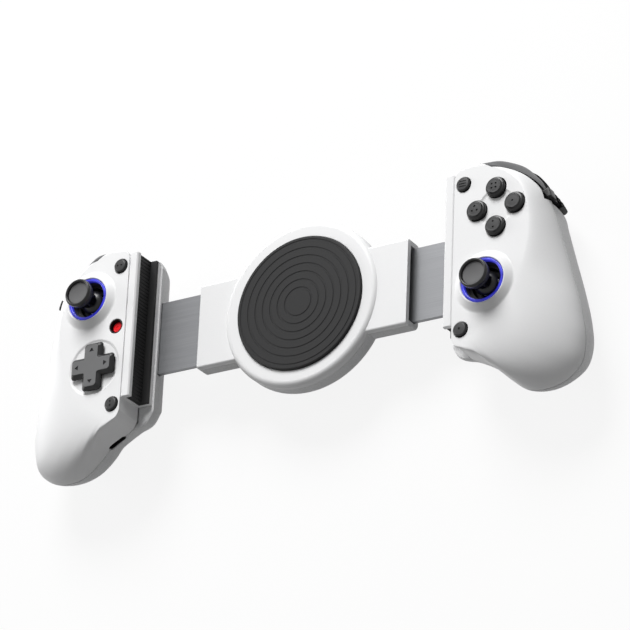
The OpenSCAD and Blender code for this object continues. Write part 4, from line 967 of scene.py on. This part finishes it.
def trigger(name, side, ribs=34, foot=-16.6):
    """Ribbed lever under the bumper that follows the rear shell's outside and ends in a small flared tail.

    Point (u, f): rear_at(u - 0.44 f k, z, lift + lip - 0.7 groove), with z from just under the bumper to foot
    by f, k from 0 to 1 along the lever, and groove = 1 between the ribs; lift and lip shape it along u and f.
    """
    u = np.linspace(TRIGGER_FROM, TRIGGER_TO, ribs * 16 + 1)
    along = (u - TRIGGER_FROM) / (TRIGGER_TO - TRIGGER_FROM)
    groove = 1 - np.clip(0.4 + 0.9 * np.cos(2 * np.pi * ribs * along), 0, 1)
    lift = 0.2 + smooth((5.4 - u) / 1.6) + 1.3 * smooth((u - 5.9) / 0.6)
    top = np.where(u < BLOCK_FROM - 0.05, bumper_low(u) - 0.6, -1.0 - 4.5 * smooth((u - 6.1) / 0.36))
    corners = np.array([
        (0.1, 0.3, 0.0), (0.45, 0.8, 0.012), (0.55, 1, 0.04), (0.45, 1, 0.15), (0.15, 1, 0.3), (0.0, 1, 0.45),
        (0.0, 1, 0.6), (0.05, 1, 0.75), (0.1, 1, 0.86), (0.0, 0.7, 0.94), (-0.4, 0.2, 0.985), (-0.8, 0, 1.0),
    ])
    lip, ribbed, f = corners.T[:, None, :]
    outer = lift[:, None] + lip - 0.7 * ribbed * groove[:, None]
    inner = np.broadcast_to([-1.3, -1.5, -1.5, -1.5, -1.5], (len(u), 5))
    f = np.concatenate([f, np.array([[0.96, 0.8, 0.5, 0.2, 0.0]])], 1)
    places = u[:, None] - 0.44 * f * along[:, None]
    z = top[:, None] + (foot - top[:, None]) * f
    below = np.minimum(z, station(places)[..., RIM_Z] - SEAM - 0.01)
    rows = rear_at(places, below, np.concatenate([outer, inner], 1))
    rows[..., 2] = z
    piece = make(f"{name}_trigger_lever", Solid().grid(closed_ends(rows)), RIBBED,
                 f"{name}_trigger", [f"{name}_trigger"], side)
    return shade(piece)


# Bridge

def sleeve(low, high, below, above, half=18.7, reach=49):
    """Bar across the hub, along x, with its edges rounded by below and above; its ends are eased a little."""
    outline = np.array([
        *arc((half - below, low + below), below, 270, 360, 8),
        *arc((half - above, high - above), above, 0, 90, 8),
        *arc((above - half, high - above), above, 90, 180, 8),
        *arc((below - half, low + below), below, 180, 270, 8),
    ])
    centre = np.array([0, (low + high) / 2])
    eased = centre + (outline - centre) * 0.985
    ends = ((-reach, eased), (0.4 - reach, outline), (reach - 0.4, outline), (reach, eased))
    return Solid().grid(np.array([np.column_stack([np.full(len(ring), x), ring]) for x, ring in ends]))


def hub_front():
    """Round front cover of the bridge, with a seat for the rest pad, fused with its sleeve."""
    profile = [(0, -4.5), (36, -4.5), *arc((33.4, -3.8), 2.6, 0, 90, 14), (29.4, -1.2),
               *arc((29.4, -1.5), 0.3, 90, 180, 4), (29.1, -1.7), (0, -1.7)]
    piece = make("hub_front_moulding", Solid().lathe(profile, (0, 0), 192), WHITE, "bridge",
                 ["hub_front_cover"])
    combine(piece, sleeve(-4.5, -2.2, 0.01, 1.1), 0, "UNION")
    return shade(piece)


def hub_rear():
    """Round rear cover fused with its sleeve, with the slide plates' channel and four screw wells."""
    profile = [(0, -13.3), *arc((31, -8.3), 5, 270, 360, 18), (36, -4.65), (0, -4.65)]
    piece = make("hub_rear_moulding", Solid().lathe(profile, (0, 0), 192), GRAINED, "bridge",
                 ["hub_rear_cover"])
    combine(piece, sleeve(-11.9, -4.65, 3.0, 0.01), 0, "UNION")
    combine(piece, Solid().box((-60, -16.3, -9.5), (60, 16.3, 5)))
    well = [(0, -20), (2, -20), (2, -11.5), (0, -11.5)]
    for at in ((-11, -28.6), (-11, 28.6), (11, -28.6), (11, 28.6)):
        combine(piece, Solid().lathe(well, at, 48))
    return shade(piece)


def rest_pad():
    """Rubber pad with rings: z falls by 0.22 in narrow grooves 3.5 apart."""
    rings = []
    for r in np.arange(27.2, 3, -3.5):
        rings += [(r + 0.5, 0.0), (r + 0.3, -0.22), (r - 0.3, -0.22), (r - 0.5, 0.0)]
    profile = [(0, -1.6), (29, -1.6), (29, -0.5), *arc((28.5, -0.5), 0.5, 0, 90, 6), *rings, (0, 0.0)]
    piece = make("rest_pad_rubber", Solid().lathe(profile, (0, 0), 160), RUBBER, "bridge",
                 ["rest_pad"])
    return shade(piece, 30)


for name, side in SIDES.items():
    front_shell(name, side)
    rear_shell(name, side)
    jaw(name, side)
    liner(name, side)
    light_ring(name, side)
    stick_cap(name, side)
    bumper(name, side)
    end_block(name, side)
    trigger(name, side)

for name, angle, count in (("top", 90, 4), ("right", 0, 1), ("bottom", 270, 2), ("left", 180, 3)):
    action_button(f"action_button_{name}", angle, count)

BESIDE = [ring_mark(0.45, (x, 0)) for x in (-0.9, 0.9)]
ABOVE = [ring_mark(0.45, (0, y)) for y in (-0.9, 0.9)]
SINGLE = [ring_mark(0.5)]
LINES = [[(-1.5, y - 0.22), (1.5, y - 0.22), (1.5, y + 0.22), (-1.5, y + 0.22)] for y in (-1.1, 0.0, 1.1)]
small_button("left_top_button", -1, TOP_BUTTON, SMALL_KEY_PROUD, KEYLET, BESIDE)
small_button("left_bottom_button", -1, BOTTOM_BUTTON, SMALL_KEY_PROUD, KEYLET, ABOVE)
small_button("left_mode_button", -1, MODE_BUTTON, -1.5, RED, [ring_mark(0.7)], 2.6)
mode_bezel()
small_button("right_top_button", 1, TOP_BUTTON, SMALL_KEY_PROUD, KEYLET, LINES)
small_button("right_bottom_button", 1, BOTTOM_BUTTON, SMALL_KEY_PROUD, KEYLET, SINGLE)
direction_pad()
hub_front()
hub_rear()
rest_pad()

dress(PLATE, "left_slide_plate", "right_slide_plate")
dress(STEEL, "hub_screws", "pad_ball", "left_return_spring", "right_return_spring")
# The charge port is black so that its opening reads dark: painted shade.
dress(BLACK, "charge_port", "pad_seat")
dress(PALE, "sync_pinion")
for name in SIDES:
    dress(STEEL, *(f"{name}_{part}" for part in (
        "plate_screws", "shell_screws", "stick_shaft", "stick_gimbal", "trigger_pin", "trigger_spring")))
    dress(BLACK, f"{name}_stick_base", f"{name}_shoulder_frame")
    dress(SILICONE, f"{name}_key_mat")
    dress(BOARD, f"{name}_circuit_board")
    dress(CELL, f"{name}_battery")


# Stage, light and camera

def seen(nodes):
    """Value that is 1 on camera, mirror and glass rays and 0 on the rest."""
    path = nodes.node("ShaderNodeLightPath").socket.node
    rays = [Value(nodes, path.outputs[f"Is {kind} Ray"]) for kind in ("Camera", "Glossy", "Transmission")]
    return rays[0].math("MAXIMUM", rays[1]).math("MAXIMUM", rays[2])


def floor():
    """Pale floor: what the camera, a reflection or a clear part sees of it is mostly white of its own."""
    mesh = bpy.data.meshes.new("floor")
    corners = [(x, y, BACK * MM) for x, y in ((-4, -4), (4, -4), (4, 4), (-4, 4))]
    mesh.from_pydata(corners, [], [(0, 1, 2, 3)])
    plane = bpy.data.objects.new("floor", mesh)
    bpy.context.collection.objects.link(plane)
    finish = Finish("floor_paper", roughness=0.9)
    clear = seen(finish)
    finish.set(base_color=finish.between(clear, (0.38, 0.38, 0.38), (0.9, 0.9, 0.9)))
    paper = Value(finish, finish.surface.outputs[0])
    mixed = finish.node("ShaderNodeMixShader", (), [clear * 0.88, paper, finish.node("ShaderNodeEmission")])
    finish.feed(finish.tree.nodes["Material Output"], {"Surface": mixed})
    mesh.materials.append(finish.material)


def lamp(name, place, size, power):
    """Round area lamp that points at the origin."""
    data = bpy.data.lights.new(name, "AREA")
    data.shape = "DISK"
    data.size = size
    data.energy = power
    light = bpy.data.objects.new(name, data)
    bpy.context.collection.objects.link(light)
    light.location = place
    light.rotation_euler = (-Vector(place)).to_track_quat("-Z", "Y").to_euler()


def sky():
    """White world: bright where it is seen, dim where it only lights the part."""
    world = bpy.data.worlds.new("studio")
    bpy.context.scene.world = world
    world.use_nodes = True
    nodes = Nodes(world.node_tree)
    dim = nodes.tree.nodes["Background"]
    nodes.feed(dim, {"Color": (1, 1, 1, 1), "Strength": 0.2})
    bright = nodes.node("ShaderNodeBackground", (), {"Color": (1, 1, 1, 1), "Strength": 1.0})
    mixed = nodes.node("ShaderNodeMixShader", (), [seen(nodes), Value(nodes, dim.outputs[0]), bright])
    nodes.feed(nodes.tree.nodes["World Output"], {"Surface": mixed})


def camera():
    """Camera of the photograph: 188.6 mm lens on a 36 mm square, looking down from the lower right."""
    data = bpy.data.cameras.new("camera")
    data.lens = 188.6
    data.sensor_width = 36
    data.clip_end = 20
    made = bpy.data.objects.new("camera", data)
    bpy.context.collection.objects.link(made)
    right = Vector((0.85292, 0.03969, -0.52053))
    up = Vector((0.18841, 0.9065, 0.37784))
    back = Vector((0.48685, -0.42034, 0.76569))
    turn = Matrix((right, up, back)).transposed().to_4x4()
    made.matrix_world = Matrix.Translation((0.64813, -0.55997, 1.00631)) @ turn
    bpy.context.scene.camera = made


floor()
lamp("key", (-0.14, 1.25, 1.02), 0.9, 32)
lamp("side", (-1.6, 0.35, 0.4), 0.9, 9)
sky()
camera()
bpy.context.scene.view_settings.view_transform = "Standard"
